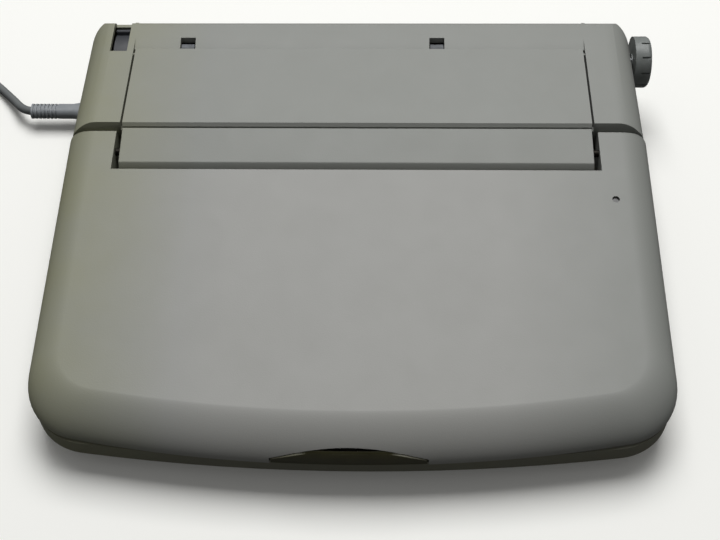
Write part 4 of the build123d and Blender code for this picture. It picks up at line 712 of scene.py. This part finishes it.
# The studio, in metres and watts: one softbox high behind the machine and a dim sky, over a pale floor that
# throws back less light than it shows, so that the rolled edges fall off as in a dim room.
studio = {
    "floorColour": "#f8f8f4", "floorBounce": "#6b6b69", "floorLift": 0.05, "floorHalf": 2.5,
    "floorRough": 0.85, "floorGrainMm": 6, "floorGrainDeepMm": 0.1,
    "skyColour": "#ffffff", "skyDim": 0.05, "skyBright": 0.24, "skyFrom": (0.0, 0.55, 0.84),
    "backdrop": "#f4f4f2",
    "keyPlace": (0.05, 1.15, 2.45), "keyAim": (0, 0, 0.03), "keySize": 1.7, "keyPower": 67.0,
}


def makeFloor():
    mesh = bmesh.new()
    bmesh.ops.create_grid(mesh, x_segments=1, y_segments=1, size=studio["floorHalf"])
    data = bpy.data.meshes.new("studioFloor")
    mesh.to_mesh(data)
    mesh.free()
    material, tree, surface, place = blankMaterial("paintedFloor", {
        "Roughness": studio["floorRough"], "Specular IOR Level": 0.2})
    rays = addNode(tree, "ShaderNodeLightPath")
    tone = addNode(tree, "ShaderNodeMix", {"data_type": "RGBA"}, {"Factor": rays.outputs["Is Camera Ray"]})
    tone.inputs[6].default_value = toLinear(studio["floorBounce"])
    tone.inputs[7].default_value = toLinear(studio["floorColour"])
    tree.links.new(tone.outputs[2], surface.inputs["Base Color"])
    lift = addNode(tree, "ShaderNodeMath", {"operation": "MULTIPLY"})
    tree.links.new(rays.outputs["Is Camera Ray"], lift.inputs[0])
    lift.inputs[1].default_value = studio["floorLift"]
    surface.inputs["Emission Color"].default_value = toLinear(studio["floorColour"])
    tree.links.new(lift.outputs["Value"], surface.inputs["Emission Strength"])
    grain = addNode(tree, "ShaderNodeTexNoise", {"Scale": 1 / (studio["floorGrainMm"] * mm), "Detail": 2.0},
                    {"Vector": place})
    relief = addNode(tree, "ShaderNodeBump", {"Strength": 0.05, "Distance": studio["floorGrainDeepMm"] * mm},
                     {"Height": grain.outputs["Fac"]})
    tree.links.new(relief.outputs["Normal"], surface.inputs["Normal"])
    data.materials.append(material)
    floor = bpy.data.objects.new("studioFloor", data)
    bpy.context.scene.collection.objects.link(floor)


def makeSky():
    world = bpy.data.worlds.new("studioSky")
    world.use_nodes = True
    tree = world.node_tree
    tree.nodes.clear()
    rays = addNode(tree, "ShaderNodeLightPath")
    # brightest behind and above, dim from the front
    aim = addNode(tree, "ShaderNodeTexCoord")
    toward = addNode(tree, "ShaderNodeVectorMath", {"operation": "DOT_PRODUCT"})
    tree.links.new(aim.outputs["Generated"], toward.inputs[0])
    toward.inputs[1].default_value = studio["skyFrom"]
    strength = addNode(tree, "ShaderNodeMapRange", {
        "From Min": -0.4, "From Max": 1.0, "To Min": studio["skyDim"], "To Max": studio["skyBright"]},
        {"Value": toward.outputs["Value"]})
    light = addNode(tree, "ShaderNodeBackground", {"Color": toLinear(studio["skyColour"])},
                    {"Strength": strength.outputs["Result"]})
    seen = addNode(tree, "ShaderNodeBackground", {"Color": toLinear(studio["backdrop"]), "Strength": 1.0})
    mix = addNode(tree, "ShaderNodeMixShader", None, {"Fac": rays.outputs["Is Camera Ray"]})
    tree.links.new(light.outputs["Background"], mix.inputs[1])
    tree.links.new(seen.outputs["Background"], mix.inputs[2])
    addNode(tree, "ShaderNodeOutputWorld", None, {"Surface": mix.outputs["Shader"]})
    bpy.context.scene.world = world


def addSoftbox():
    data = bpy.data.lights.new("keySoftbox", "AREA")
    data.shape = "SQUARE"
    data.size = studio["keySize"]
    data.energy = studio["keyPower"]
    lamp = bpy.data.objects.new("keySoftbox", data)
    place = Vector(studio["keyPlace"])
    lamp.location = place
    lamp.rotation_euler = (Vector(studio["keyAim"]) - place).to_track_quat("-Z", "Y").to_euler()
    bpy.context.scene.collection.objects.link(lamp)


makeFloor()
makeSky()
addSoftbox()
bpy.context.scene.view_settings.view_transform = "Standard"
print("studio lit")
